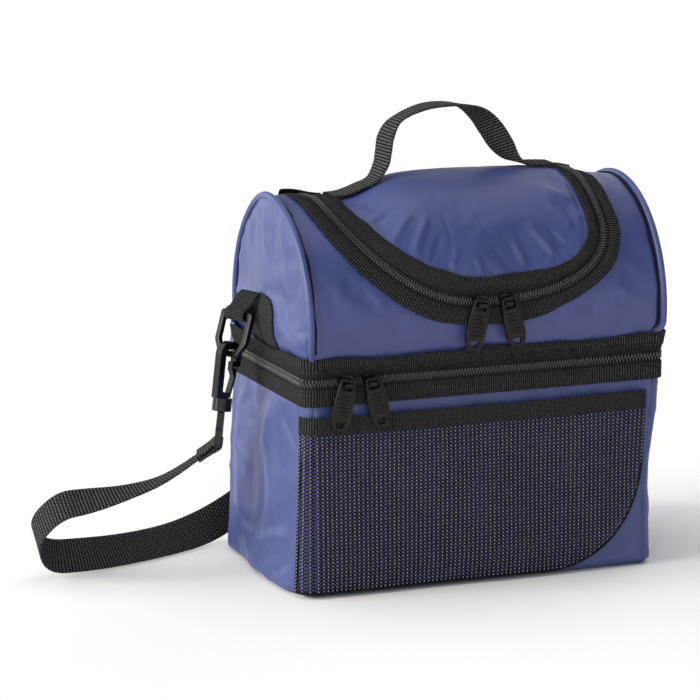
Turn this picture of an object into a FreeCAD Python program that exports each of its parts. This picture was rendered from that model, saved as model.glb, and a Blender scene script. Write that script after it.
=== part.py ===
import FreeCAD, Part

import math
import os

# Two-compartment insulated cooler bag.
# Millimetres. X is the width, Y the depth with the front at -Y, Z is up.
# The origin is the centre of the base, on the surface that the bag stands on.

V = FreeCAD.Vector
UP = V(0, 0, 1)

# ---------------------------------------------------------------- driving sizes
WIDTH = 260.0
DEPTH = 150.0
HALF_W = WIDTH / 2
HALF_D = DEPTH / 2
CORNER_R = 8.0              # vertical corners of the lower compartment

FABRIC = 0.8                # coated outer fabric, and zip tape
WEBBING = 1.2               # grosgrain bands and bindings
FOAM = 4.0
LINER = 0.5
GAP = 0.4                   # clearance between pieces that move apart

BAND_LOW = 134.0            # lower edge of the webbing below the zip
BAND_MID = 146.0            # upper edge of that webbing
ZIP_Z = 150.5               # middle of the chain between the compartments
BAND_HIGH = 167.0           # upper edge of the webbing above the zip
BAND_HIGH_LOW = 155.0       # lower edge of the webbing above the zip
LOWER_PANEL_TOP = 140.0
LOWER_FOAM_TOP = 144.5
ZIP_BACK_Y = 60.0           # the side zips end here, short of the back hinge

ROOF_R = 80.0               # radius of the barrel-shaped upper compartment
ROOF_Z = 192.0              # height of its centre line
UPPER_LOW = 161.0           # lower edge of the barrel fabric
DIVIDER_LOW = 156.5         # floor of the upper compartment
DIVIDER_FOAM = 4.0
BARREL_HALF = 127.0         # half length of the barrel, inside the piping
DOME_R = 400.0              # end panels puff out to this radius
DOME_BULGE = 138.0          # furthest point of an end panel from the middle
DOME_Z = 205.0
END_FOAM_X = 126.9
PIPING = 4.5

LID_HALF = 100.0            # half width of the D-shaped zip
LID_LOW = 199.5             # height of its straight run
LID_CORNER = 60.0
LID_HINGE_Y = 22.0
BINDING_NEAR = 4.5          # bindings lie between these distances from the zip
BINDING_FAR = 16.0
TAPE_FAR = 8.0
LID_FOAM_EDGE = 6.5

CHAIN_NEAR = 0.6            # each half of a coil chain lies between these
CHAIN_FAR = 3.4             # distances from the middle of the zip
CHAIN_T = 1.0               # half thickness of a chain

STOP_LENGTH = 3.4           # moulded stops end the zip
HINGE_GAP = 0.2

POCKET_TOP = 127.0
POCKET_BINDING = 12.0
POCKET_BOW = 5.2            # the slack mesh stands this far off the front
POCKET_T = 0.6
POCKET_BINDING_T = 0.8
POCKET_HALF = 128.0
POCKET_FLOOR = 4.0

SLIDER_PLATE = 1.6
SLIDER_BACK = 1.0
BRIDGE_HALF = 3.0           # half the length of a slider's bridge, along the zip
BRIDGE_T = 1.3              # half its width across the zip
BRIDGE_DROP = 1.5           # the bridge sits this far below the chain
PULLER_T = 2.0
PULLER_RISE = 3.3           # from the bridge up to the pivot in the puller's rim
PULLER_SPLAY = 12.0         # degrees that a hanging puller leans outwards
PULLER_OUTLINE = [(-5.6, 1.2), (5.6, 1.2), (7.3, -14), (7.3, -27)]
PULLER_OUTLINE += [(4.2, -36.4), (-4.2, -36.4), (-7.3, -27), (-7.3, -14)]
PULLER_RADII = [2.5, 2.5, 10, 8, 4, 4, 8, 10]
PULLER_EYE = [(-4.2, -0.9), (4.2, -0.9), (4.2, -7.2), (-4.2, -7.2)]
PULLER_SLOT = [(-3.6, -28.5), (3.6, -28.5), (2.4, -33), (-2.4, -33)]
LID_ZIP_Y = -79.65          # the lid zip's straight run lies at this depth
LID_SLIDERS = {"left": -4.0, "right": 16.0}
LOWER_SLIDERS = {"left": -102.0, "right": -84.0}
LID_STANDOFF = 1.2          # from a slider's face out to its puller
LOWER_STANDOFF = 3.2

HANDLE_W = 20.0
HANDLE_T = 1.6
HANDLE_AXIS_Z = 283.5
HANDLE_Y = 2.0
HANDLE_ROUTE = [
    (-43, 273.9), (-41.5, 286), (-40.5, 306), (-28, 319.5), (1, 325.5),
    (34, 320.5), (50, 304.5), (59, 288), (71, 274.6),
]

RING_YAW = 20.0             # the rings and hooks face back by this angle
RING_TILT = {"left": 18.0, "right": 5.0}    # a ring's foot leans out
RING_TOP = V(-146.5, 12.0, 184.5)
RING_T = 4.0
RING_BAR = 4.4
RING_OUTER = [(-16.5, 2.2), (16.5, 2.2), (16.5, -20), (9, -30.5), (-9, -30.5), (-16.5, -20)]
RING_INNER = [(-12.1, -2.2), (12.1, -2.2), (12.1, -18.5)]
RING_INNER += [(6.8, -26.1), (-6.8, -26.1), (-12.1, -18.5)]
RING_FOOT = 28.3            # from the top bar down to the middle of the foot
LOOP_W = 20.0
LOOP_INNER = 2.9
LOOP_OUTER = 4.1
TAB_OUTLINE = [(-29, 164), (30, 164), (30, 184), (20, 192.5), (-20, 190.5), (-29, 182)]

HOOK_TILT = {"left": 8.0, "right": 1.0}
HOOK_T = 6.0
HOOK_OUTLINE = [
    (9.4, -31), (9.4, 8.8), (-9.4, 8.8), (-9.4, -8), (-5, -9.5),
    (-4.4, 3.6), (4.4, 3.6), (4.4, -27), (-1, -27), (-1, -31),
]
HOOK_RADII = [0.5, 9, 9, 1, 1, 4.2, 4.2, 1.5, 0.5, 0.3]
GATE_OUTLINE = [
    (-1.5, -30.6), (-3.3, -30.6), (-6.8, -16), (-6.8, -10.2), (-4, -10.2),
    (-3.9, -5.5), (-2.4, -5.5), (-2.4, -11), (-5, -16),
]
GATE_T = 4.8
COLLAR_X = 1.5              # the collar's centre, across the hook
COLLAR_R = 6.8
COLLAR_TOP = -31.0
COLLAR_LOW = -40.0
POST_R = 2.2
BORE_R = 2.6
BORE_TOP = -36.5
BASE_T = 5.0
BASE_TURN = {"left": -42.0, "right": 0.0}    # a base turns on its swivel
BASE_OUTLINE = [(-6, -40.4), (6, -40.4), (15.5, -52), (15.5, -65), (-15.5, -65), (-15.5, -52)]
BASE_SLOT = [(-13, -54.5), (13, -54.5), (13, -60.5), (-13, -60.5)]

STRAP_W = 25.0
STRAP_T = 1.6
STRAP_ROUTE = [
    (-177, 11.5, 85.5), (-190, 12, 77.5), (-207, 13, 69),
    (-232, 16.5, 62.5), (-256, 19.5, 59), (-277, 21, 57), (-292, 35, 35),
    (-277, 49, 13.5), (-250, 50.5, 12.9), (-216, 61, 12.9), (-176, 77, 12.9),
    (-146, 92, 13.5), (-122, 100, 20), (-98, 102.5, 35), (-66, 101, 47),
    (-28, 97, 45), (12, 97.5, 33), (52, 101, 23), (92, 101.5, 24),
    (128, 92, 32), (154, 74, 44), (167, 50, 58), (170, 28, 72),
    (164, 11, 84.5),
]
ROUTE_SHARE = 0.45          # share of the shorter run that an arc may use
ADJUSTER_X = 52.0


# ---------------------------------------------------------------- helpers
def box(x, y, z):
    """A box between the two values of each pair."""
    size = (x[1] - x[0], y[1] - y[0], z[1] - z[0])
    return Part.makeBox(*size, V(x[0], y[0], z[0]))


def rounded_wire(points, radii):
    """A closed wire of straight runs, its corners rounded by tangent arcs."""
    edges = []
    last = None
    first = None
    count = len(points)
    for i, corner in enumerate(points):
        before = (points[i - 1] - corner).normalize()
        after = (points[(i + 1) % count] - corner).normalize()
        radius = radii[i]
        if radius == 0:
            start, end = corner, corner
        else:
            half = before.getAngle(after) / 2
            run = radius / math.tan(half)
            start = corner + before * run
            end = corner + after * run
            middle = (before + after).normalize()
            centre = corner + middle * (radius / math.sin(half))
            top = centre - middle * radius
        if last is not None and (start - last).Length > 1e-6:
            edges.append(Part.LineSegment(last, start).toShape())
        if radius:
            edges.append(Part.Arc(start, top, end).toShape())
        if first is None:
            first = start
        last = end
    if (first - last).Length > 1e-6:
        edges.append(Part.LineSegment(last, first).toShape())
    return Part.Wire(edges)


def plate(points, radii, thickness, holes=()):
    """A flat plate in the XY plane from Z 0 up, with rounded corners."""
    corners = [V(x, y, 0) for x, y in points]
    solid = Part.Face(rounded_wire(corners, radii)).extrude(UP * thickness)
    for hole_points, hole_radii in holes:
        corners = [V(x, y, -1) for x, y in hole_points]
        cutter = Part.Face(rounded_wire(corners, hole_radii))
        solid = solid.cut(cutter.extrude(UP * (thickness + 2)))
    return solid


def prism(inset, z0, z1):
    """The lower compartment's outline, moved inwards, from z0 to z1."""
    w = HALF_W - inset
    d = HALF_D - inset
    r = CORNER_R - inset
    corners = [V(-w, -d, z0), V(w, -d, z0), V(w, d, z0), V(-w, d, z0)]
    return Part.Face(rounded_wire(corners, [r] * 4)).extrude(UP * (z1 - z0))


def wall(outer, inner, z0, z1):
    """The ring between two insets of the lower outline."""
    return prism(outer, z0, z1).cut(prism(inner, z0 - 1, z1 + 1))


def zip_side(shape):
    """The part of a ring that runs along the front and both sides."""
    return shape.cut(box((-200, 200), (ZIP_BACK_Y, 100), (0, 300)))


def barrel(inset, x0, x1, low=UPPER_LOW):
    """The upper compartment's outline, moved inwards, from x0 to x1."""
    r = ROOF_R - inset
    foot = HALF_D - inset
    bulge = ROOF_R - HALF_D
    drop = ROOF_Z - low
    side_r = (drop ** 2 + bulge ** 2) / (2 * bulge)
    half = math.asin(drop / side_r) / 2
    mid_y = r - side_r * (1 - math.cos(half))
    mid_z = ROOF_Z - side_r * math.sin(half)
    roof = Part.Arc(V(x0, -r, ROOF_Z), V(x0, 0, ROOF_Z + r), V(x0, r, ROOF_Z))
    back = Part.Arc(V(x0, r, ROOF_Z), V(x0, mid_y, mid_z), V(x0, foot, low))
    base = Part.LineSegment(V(x0, foot, low), V(x0, -foot, low))
    front = Part.Arc(V(x0, -foot, low), V(x0, -mid_y, mid_z), V(x0, -r, ROOF_Z))
    wire = Part.Wire([e.toShape() for e in (roof, back, base, front)])
    return Part.Face(wire).extrude(V(x1 - x0, 0, 0))


def barrel_skin(outer, inner, half_length):
    """The barrel's curved wall between two insets, without ends or floor."""
    outside = barrel(outer, -half_length, half_length)
    return outside.cut(barrel(inner, -200, 200))


def lid_prism(offset, back):
    """The D-shaped zip's outline, moved outwards, back to one depth."""
    w = LID_HALF + offset
    low = LID_LOW - offset
    r = LID_CORNER + offset
    top = 400
    front = -120
    corners = [V(-w, front, low), V(w, front, low), V(w, front, top), V(-w, front, top)]
    face = Part.Face(rounded_wire(corners, [r, r, 0, 0]))
    return face.extrude(V(0, back - front, 0))


def lid_band(near, far, back):
    """The strip between two distances from the D-shaped zip."""
    return lid_prism(max(near, far), back).cut(lid_prism(min(near, far), back + 10))


def mirrored(shape):
    return shape.mirror(V(0, 0, 0), V(1, 0, 0))


def turned(shape, centre, axis, degrees):
    result = shape.copy()
    result.rotate(centre, axis, degrees)
    return result


def upright(shape, normal):
    """Stands a flat plate up: its Y turns to Z, and it faces along X or Y."""
    if normal == "x":
        turn = FreeCAD.Rotation(V(0, 1, 0), UP, V(1, 0, 0))
    else:
        turn = FreeCAD.Rotation(V(1, 0, 0), 90)
    return shape.transformed(FreeCAD.Placement(V(0, 0, 0), turn).toMatrix())


def side_frame(origin, tilt):
    """The left side's hardware frame: X outwards, Y along the ring's bar, Z up,
    leaning out at its foot by tilt and turned back by RING_YAW."""
    yaw = FreeCAD.Rotation(UP, 180 + RING_YAW)
    lean = FreeCAD.Rotation(V(0, 1, 0), -tilt)
    return FreeCAD.Placement(origin, yaw * lean)


# ---------------------------------------------------------------- lower compartment
def lower_panel(side):
    """One of the four fabric walls, split on the corners' diagonals."""
    w = HALF_W - CORNER_R
    d = HALF_D - CORNER_R
    reach = CORNER_R + 10
    wide = [(-w, -d), (-w - reach, -d - reach), (w + reach, -d - reach), (w, -d)]
    tall = [(w, -d), (w + reach, -d - reach), (w + reach, d + reach), (w, d)]
    outlines = {
        "front": wide,
        "back": [(x, -y) for x, y in wide],
        "right": tall,
        "left": [(-x, y) for x, y in tall],
    }
    corners = [V(x, y, -1) for x, y in outlines[side]]
    sector = Part.Face(rounded_wire(corners, [0] * 4)).extrude(UP * 200)
    return wall(0, FABRIC, FABRIC, LOWER_PANEL_TOP).common(sector)


def wall_foam():
    """Four foam pads inside the fabric walls."""
    low = FABRIC + FOAM
    high = LOWER_FOAM_TOP
    x = HALF_W - FABRIC
    y = HALF_D - FABRIC
    end = CORNER_R - FABRIC
    long_pad = box((-x + end, x - end), (-y, -y + FOAM), (low, high))
    short_pad = box((x - FOAM, x), (-y + end, y - end), (low, high))
    back = long_pad.mirror(V(0, 0, 0), V(0, 1, 0))
    return Part.makeCompound([long_pad, back, short_pad, mirrored(short_pad)])


def lower_liner():
    """The open-topped inner lining, one welded sheet."""
    outer = prism(FABRIC + FOAM, FABRIC + FOAM, LOWER_FOAM_TOP)
    inner = prism(FABRIC + FOAM + LINER, FABRIC + FOAM + LINER, LOWER_FOAM_TOP + 1)
    return outer.cut(inner)


def zip_strip(outer, inner, z0, z1):
    return zip_side(wall(outer, inner, z0, z1))


def zip_end_stops():
    """A moulded stop at each end of the zip between the compartments."""
    low = ZIP_Z - CHAIN_FAR
    high = ZIP_Z - CHAIN_NEAR
    y = (ZIP_BACK_Y + GAP, ZIP_BACK_Y + STOP_LENGTH)
    stop = box((HALF_W - 1.6, HALF_W + 1.0), y, (low, high))
    return Part.makeCompound([stop, mirrored(stop)])


def pocket_segment(bow, low, high):
    """A bowed slab on the front: flat behind, a shallow arc in front."""
    y = -HALF_D
    left = V(-POCKET_HALF, y, low)
    right = V(POCKET_HALF, y, low)
    arc = Part.Arc(left, V(0, y - bow, low), right).toShape()
    chord = Part.LineSegment(right, left).toShape()
    return Part.Face(Part.Wire([arc, chord])).extrude(UP * (high - low))


def pocket_corner(shift):
    """What the mesh leaves bare at its lower right: outside a large arc."""
    a = V(126 - shift, -120, 84 + shift)
    b = V(88 - shift, -120, 36 + shift)
    c = V(46 - shift, -120, 1 + shift)
    arc = Part.Arc(a, b, c).toShape()
    d = V(c.x, -120, -30)
    e = V(200, -120, -30)
    f = V(200, -120, a.z)
    runs = [Part.LineSegment(p, q).toShape() for p, q in ((c, d), (d, e), (e, f), (f, a))]
    return Part.Face(Part.Wire([arc] + runs)).extrude(V(0, 60, 0))


def pocket_mesh():
    """The slack mesh pocket, open along its top."""
    outer = pocket_segment(POCKET_BOW, POCKET_FLOOR, POCKET_TOP).cut(pocket_corner(0))
    inner = pocket_segment(POCKET_BOW - POCKET_T, POCKET_FLOOR + POCKET_T, POCKET_TOP + 1)
    return outer.cut(inner.cut(pocket_corner(POCKET_T)))


def pocket_binding():
    low = POCKET_TOP - POCKET_BINDING
    outer = pocket_segment(POCKET_BOW + POCKET_BINDING_T, low, POCKET_TOP)
    return outer.cut(pocket_segment(POCKET_BOW, low - 1, POCKET_TOP + 1))


def rear_hinge(z0, z1):
    """Half of the fabric that joins the compartments round the back."""
    zip_end = ZIP_BACK_Y + STOP_LENGTH + GAP
    return wall(0, FABRIC, z0, z1).cut(box((-200, 200), (-200, zip_end), (0, 300)))


# ---------------------------------------------------------------- shoulder strap
def route_edges(points):
    """Straight runs joined by arcs, as large as the shorter run allows."""
    edges = []
    radii = []
    last = points[0]
    for a, b, c in zip(points, points[1:], points[2:]):
        before = (a - b).normalize()
        after = (c - b).normalize()
        half = before.getAngle(after) / 2
        run = ROUTE_SHARE * min((a - b).Length, (c - b).Length)
        radius = run * math.tan(half)
        start = b + before * run
        end = b + after * run
        middle = (before + after).normalize()
        top = b + middle * (run / math.cos(half) - radius)
        edges.append(Part.LineSegment(last, start).toShape())
        edges.append(Part.Arc(start, top, end).toShape())
        radii.append(radius)
        last = end
    edges.append(Part.LineSegment(last, points[-1]).toShape())
    return edges, radii


def ribbon(points, flat, width, thickness):
    """Webbing along a route, its width along one fixed direction."""
    edges, radii = route_edges(points)
    path = Part.Wire(edges)
    run = points[1] - points[0]
    across = flat.cross(run).normalize() * (thickness / 2)
    rise = flat * (width / 2)
    start = points[0]
    corners = [start - across - rise, start + across - rise]
    corners += [start + across + rise, start - across + rise]
    sweep = Part.BRepOffsetAPI.MakePipeShell(path)
    sweep.setBiNormalMode(flat)
    sweep.add(rounded_wire(corners, [0] * 4))
    sweep.build()
    sweep.makeSolid()
    solid = sweep.shape()
    print("radii", [round(r) for r in radii], "length", round(path.Length))
    print("volume", round(solid.Volume), "of", round(width * thickness * path.Length))
    return solid


def strap():
    return ribbon([V(*p) for p in STRAP_ROUTE], UP, STRAP_W, STRAP_T)


def strap_adjuster():
    """The three-bar slide on the strap, where it lies behind the bag."""
    outer = [(-12, -16), (12, -16), (12, 16), (-12, 16)]
    slots = []
    for x in (-9, 2):
        slots.append(([(x, -13.4), (x + 7, -13.4), (x + 7, 13.4), (x, 13.4)], [0.8] * 4))
    frame = plate(outer, [3] * 4, 2.4, slots)
    turn = FreeCAD.Rotation(V(1, 0, 0), 90)
    lean = FreeCAD.Rotation(UP, 4.0)
    place = FreeCAD.Placement(V(ADJUSTER_X, 105.2, 23.3), lean * turn)
    return frame.transformed(place.toMatrix())


# ---------------------------------------------------------------- upper compartment
def barrel_panel():
    """The coated fabric of the roof and sides, open under the lid."""
    skin = barrel_skin(0, FABRIC, BARREL_HALF)
    return skin.cut(lid_prism(TAPE_FAR, LID_HINGE_Y + HINGE_GAP))


def end_panel():
    """The right end: a slack, outward-domed fabric panel."""
    centre = V(DOME_BULGE - DOME_R, 0, DOME_Z)
    ball = Part.makeSphere(DOME_R, centre)
    core = Part.makeSphere(DOME_R - FABRIC, centre)
    blank = barrel(PIPING - 1.5, 120, 150)
    return blank.common(ball).cut(core)


def piping():
    """Covered cord along both arched seams."""
    outer = barrel(-1.5, BARREL_HALF, BARREL_HALF + PIPING)
    right = outer.cut(barrel(PIPING - 1.5, 100, 150))
    return Part.makeCompound([right, mirrored(right)])


def barrel_foam():
    """The foam behind the roof fabric, with the lid's opening."""
    skin = barrel_skin(FABRIC, FABRIC + FOAM, END_FOAM_X - FOAM)
    return skin.cut(lid_prism(LID_FOAM_EDGE, LID_HINGE_Y + HINGE_GAP))


def end_foam():
    pad = barrel(PIPING - 1.5, END_FOAM_X - FOAM, END_FOAM_X)
    return Part.makeCompound([pad, mirrored(pad)])


def upper_band():
    """The webbing above the zip, running up onto the front of the barrel."""
    straight = zip_strip(-WEBBING, 0, BAND_HIGH_LOW, UPPER_LOW)
    front = box((-200, 200), (-100, -60), (UPPER_LOW, BAND_HIGH))
    return straight.fuse(barrel_skin(-WEBBING, 0, BARREL_HALF).common(front))


def upper_liner():
    """The inner lining of the upper compartment, open under the lid."""
    inset = FABRIC + FOAM
    x = END_FOAM_X - FOAM
    outer = barrel(inset, -x, x)
    inner = barrel(inset + LINER, LINER - x, x - LINER, UPPER_LOW + LINER)
    return outer.cut(inner).cut(lid_prism(LID_FOAM_EDGE, LID_HINGE_Y + HINGE_GAP))


def divider_foam():
    """The insulated floor between the two compartments."""
    return prism(FABRIC, DIVIDER_LOW, DIVIDER_LOW + DIVIDER_FOAM)


def divider_liner():
    return prism(FABRIC, DIVIDER_LOW - LINER, DIVIDER_LOW)


def side_tab():
    """The left grosgrain patch and the webbing loop that holds the ring."""
    corners = [V(120, y, z) for y, z in TAB_OUTLINE]
    blank = Part.Face(rounded_wire(corners, [2, 2, 8, 6, 8, 6])).extrude(V(40, 0, 0))
    centre = V(DOME_BULGE - DOME_R, 0, DOME_Z)
    patch = blank.common(Part.makeSphere(DOME_R + WEBBING, centre))
    patch = mirrored(patch.cut(Part.makeSphere(DOME_R, centre)))
    start = V(0, -LOOP_W / 2, 0)
    along = V(0, 1, 0)
    loop = Part.makeCylinder(LOOP_OUTER, LOOP_W, start, along)
    tail = [V(x, -LOOP_W / 2, z) for x, z in ((-3.9, 1), (-0.5, 3.9), (-5.6, 14), (-8.4, 12))]
    loop = loop.fuse(Part.Face(rounded_wire(tail, [0] * 4)).extrude(along * LOOP_W))
    loop = loop.cut(Part.makeCylinder(LOOP_INNER, LOOP_W + 2, start - along, along))
    loop = loop.transformed(side_frame(RING_TOP, 0).toMatrix())
    return patch.fuse(loop.cut(Part.makeSphere(DOME_R, V(-centre.x, 0, DOME_Z))))


def ring(side):
    """A plastic ring on the left, leaning as that side's does, its top bar in the loop."""
    blank = plate(RING_OUTER, [2.5, 2.5, 5, 6, 6, 5], RING_T, [(RING_INNER, [1, 1, 4, 4, 4, 4])])
    blank.translate(V(0, 0, -RING_T / 2))
    blank = blank.makeFillet(1.1, blank.Edges)
    return upright(blank, "x").transformed(side_frame(RING_TOP, RING_TILT[side]).toMatrix())


def hook_frame(side):
    """A hook's frame on the left, at the middle of the ring's foot."""
    foot = side_frame(RING_TOP, RING_TILT[side]).multVec(V(0, 0, -RING_FOOT))
    return side_frame(foot, HOOK_TILT[side])


def hook(side):
    """A snap hook's bent arm and collar, with a bore for the base's post."""
    arm = plate(HOOK_OUTLINE, HOOK_RADII, HOOK_T)
    arm.translate(V(0, 0, -HOOK_T / 2))
    arm = upright(arm, "y")
    height = COLLAR_TOP - COLLAR_LOW
    collar = Part.makeCylinder(COLLAR_R, height, V(COLLAR_X, 0, COLLAR_LOW), UP)
    bore = Part.makeCylinder(BORE_R, BORE_TOP - COLLAR_LOW + 1, V(COLLAR_X, 0, COLLAR_LOW - 1), UP)
    return arm.fuse(collar).cut(bore).transformed(hook_frame(side).toMatrix())


def hook_gate(side):
    """A hook's sprung tongue."""
    tongue = plate(GATE_OUTLINE, [0] * len(GATE_OUTLINE), GATE_T)
    tongue.translate(V(0, 0, -GATE_T / 2))
    return upright(tongue, "y").transformed(hook_frame(side).toMatrix())


def hook_base(side):
    """A swivel base, with the strap's slot."""
    body = plate(BASE_OUTLINE, [1, 1, 4, 3, 3, 4], BASE_T, [(BASE_SLOT, [1] * 4)])
    body.translate(V(0, 0, -BASE_T / 2))
    body = upright(body, "x")
    body.translate(V(COLLAR_X, 0, 0))
    low = BASE_OUTLINE[0][1] - 1
    post = Part.makeCylinder(POST_R, BORE_TOP - GAP - low, V(COLLAR_X, 0, low), UP)
    body.rotate(V(COLLAR_X, 0, 0), UP, BASE_TURN[side])
    return body.fuse(post).transformed(hook_frame(side).toMatrix())


# ---------------------------------------------------------------- lid
def lid_panel():
    skin = barrel_skin(0, FABRIC, BARREL_HALF)
    return skin.common(lid_prism(-TAPE_FAR, LID_HINGE_Y - HINGE_GAP))


def lid_layer(outer, inner):
    """A layer under the lid fabric between two insets."""
    skin = barrel_skin(outer, inner, BARREL_HALF)
    return skin.common(lid_prism(-LID_FOAM_EDGE, LID_HINGE_Y - HINGE_GAP))


def lid_strip(outer, inner, near, far):
    """A strip along the D-shaped zip: positive distances are outside it."""
    back = LID_HINGE_Y + (HINGE_GAP if far > 0 else -HINGE_GAP)
    return barrel_skin(outer, inner, BARREL_HALF).common(lid_band(near, far, back))


def handle_ends():
    """The handle's stitched-down ends, flat on the lid."""
    z = (ROOF_Z + ROOF_R, ROOF_Z + ROOF_R + HANDLE_T)
    y = (HANDLE_Y - HANDLE_W / 2, HANDLE_Y + HANDLE_W / 2)
    inner = LID_HALF - BINDING_FAR - 0.2
    left = box((-inner, -44.6), y, z)
    right = box((73, inner), y, z)
    return Part.makeCompound([left, right])


def carry_handle():
    """The free arch of the handle, its feet rounded about the axis it flops on."""
    points = [V(x, HANDLE_Y, z) for x, z in HANDLE_ROUTE]
    arch = ribbon(points, V(0, 1, 0), HANDLE_W, HANDLE_T)
    start = V(-100, HANDLE_Y, HANDLE_AXIS_Z)
    above = box((-100, 100), (-50, 50), (HANDLE_AXIS_Z, 400))
    feet = Part.makeCylinder(HANDLE_W / 2, 200, start, V(1, 0, 0))
    return arch.common(above.fuse(feet))


# ---------------------------------------------------------------- sliders and pullers
def slider(x, y, z, standoff):
    """A zip slider: two plates, a thin core between the chain's halves, a bridge."""
    face = y - CHAIN_T - 0.95
    back = y + CHAIN_T + 0.85
    outline = [(-5.5, -4), (-2, -5), (5.5, -4.2), (5.5, 4.2), (-2, 5), (-5.5, 4)]
    front = plate(outline, [2] * 6, SLIDER_PLATE)
    front = upright(front, "y")
    front.translate(V(0, face, 0))
    rear = upright(plate(outline, [2] * 6, SLIDER_BACK), "y")
    rear.translate(V(0, back + SLIDER_BACK, 0))
    core = box((-2, 2), (face, back), (-0.3, 0.3))
    out = face - SLIDER_PLATE
    reach = standoff + PULLER_T + 0.4
    w = BRIDGE_HALF
    arch = [(-w, 1), (-w, -reach - 1.4), (w, -reach - 1.4), (w, 1)]
    arch += [(w - 1.3, 1), (w - 1.3, -reach), (1.3 - w, -reach), (1.3 - w, 1)]
    corners = [V(px, out + py, -BRIDGE_DROP - BRIDGE_T) for px, py in arch]
    bridge = Part.Face(rounded_wire(corners, [0, 1, 1, 0, 0, 0.4, 0.4, 0]))
    bridge = bridge.extrude(UP * (2 * BRIDGE_T))
    body = front.fuse(core).fuse(rear).fuse(bridge)
    body.translate(V(x, 0, z))
    return body


def puller_pivot(x, y, z, standoff):
    """Where a puller's rim turns on the slider's bridge."""
    out = y - CHAIN_T - 0.95 - SLIDER_PLATE - standoff - PULLER_T / 2
    return V(x, out, z - BRIDGE_DROP + PULLER_RISE)


def puller(side, x, y, z, standoff):
    """A leaf-shaped puller, hanging with its foot turned outwards."""
    holes = [(PULLER_EYE, [0.8] * 4), (PULLER_SLOT, [0.8] * 4)]
    leaf = plate(PULLER_OUTLINE, PULLER_RADII, PULLER_T, holes)
    leaf = upright(leaf, "y")
    leaf.translate(V(0, PULLER_T / 2, 0))
    lean = PULLER_SPLAY if side == "left" else -PULLER_SPLAY
    leaf = turned(leaf, V(0, 0, 0), V(0, 1, 0), lean)
    leaf.translate(puller_pivot(x, y, z, standoff))
    return leaf


# ---------------------------------------------------------------- the whole bag
def lower_parts():
    parts = {f"lower_{side}_panel": lower_panel(side) for side in ("front", "back", "left", "right")}
    parts["lower_bottom_panel"] = prism(0, 0, FABRIC)
    parts["lower_wall_foam"] = wall_foam()
    parts["lower_base_foam"] = prism(FABRIC, FABRIC, FABRIC + FOAM)
    parts["lower_liner"] = lower_liner()
    parts["lower_band_webbing"] = zip_strip(-WEBBING, 0, BAND_LOW, BAND_MID)
    parts["lower_zip_tape"] = zip_strip(0, FABRIC, LOWER_PANEL_TOP, ZIP_Z - CHAIN_FAR)
    low, high = ZIP_Z - CHAIN_FAR, ZIP_Z - CHAIN_NEAR
    parts["lower_zip_chain"] = zip_strip(-CHAIN_T, CHAIN_T, low, high)
    parts["lower_zip_end_stops"] = zip_end_stops()
    parts["front_pocket_mesh"] = pocket_mesh()
    parts["front_pocket_binding"] = pocket_binding()
    parts["rear_hinge_lower"] = rear_hinge(LOWER_PANEL_TOP, ZIP_Z - HINGE_GAP)
    parts["shoulder_strap"] = strap()
    parts["strap_adjuster"] = strap_adjuster()
    return parts


def upper_parts():
    right_end = end_panel()
    parts = {"upper_barrel_panel": barrel_panel()}
    parts["upper_right_end_panel"] = right_end
    parts["upper_left_end_panel"] = mirrored(right_end)
    parts["upper_end_piping"] = piping()
    parts["upper_barrel_foam"] = barrel_foam()
    parts["upper_end_foam"] = end_foam()
    parts["upper_liner"] = upper_liner()
    parts["divider_foam"] = divider_foam()
    parts["divider_liner"] = divider_liner()
    parts["upper_band_webbing"] = upper_band()
    parts["upper_zip_tape"] = zip_strip(0, FABRIC, ZIP_Z + CHAIN_FAR, UPPER_LOW)
    low, high = ZIP_Z + CHAIN_NEAR, ZIP_Z + CHAIN_FAR
    parts["upper_zip_chain"] = zip_strip(-CHAIN_T, CHAIN_T, low, high)
    parts["lid_zip_tape_outer"] = lid_strip(0, FABRIC, CHAIN_FAR, TAPE_FAR)
    parts["lid_zip_chain_outer"] = lid_strip(-CHAIN_T, CHAIN_T, CHAIN_NEAR, CHAIN_FAR)
    parts["lid_binding_outer"] = lid_strip(-WEBBING, 0, BINDING_NEAR, BINDING_FAR)
    parts["rear_hinge_upper"] = rear_hinge(ZIP_Z + HINGE_GAP, UPPER_LOW)
    parts["left_side_tab"] = side_tab()
    parts["right_side_tab"] = mirrored(side_tab())
    return parts


def lid_parts():
    parts = {"lid_panel": lid_panel()}
    parts["lid_foam"] = lid_layer(FABRIC, FABRIC + FOAM)
    parts["lid_liner"] = lid_layer(FABRIC + FOAM, FABRIC + FOAM + LINER)
    parts["lid_zip_tape_inner"] = lid_strip(0, FABRIC, -CHAIN_FAR, -TAPE_FAR)
    parts["lid_zip_chain_inner"] = lid_strip(-CHAIN_T, CHAIN_T, -CHAIN_NEAR, -CHAIN_FAR)
    parts["lid_binding_inner"] = lid_strip(-WEBBING, 0, -BINDING_NEAR, -BINDING_FAR)
    parts["handle_ends"] = handle_ends()
    parts["carry_handle"] = carry_handle()
    return parts


def side_hardware():
    makers = {"ring": ring, "hook": hook, "hook_gate": hook_gate, "hook_base": hook_base}
    parts = {}
    for name, make in makers.items():
        parts[f"left_{name}"] = make("left")
        parts[f"right_{name}"] = mirrored(make("right"))
    return parts


def zip_hardware():
    parts = {}
    for side in ("left", "right"):
        lid = (LID_SLIDERS[side], LID_ZIP_Y, LID_LOW, LID_STANDOFF)
        lower = (LOWER_SLIDERS[side], -HALF_D, ZIP_Z, LOWER_STANDOFF)
        for zip_name, place in (("lid", lid), ("lower", lower)):
            parts[f"{zip_name}_{side}_slider"] = slider(*place)
            parts[f"{zip_name}_{side}_puller"] = puller(side, *place)
            print(zip_name, side, "puller pivot", puller_pivot(*place))
    return parts


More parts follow.
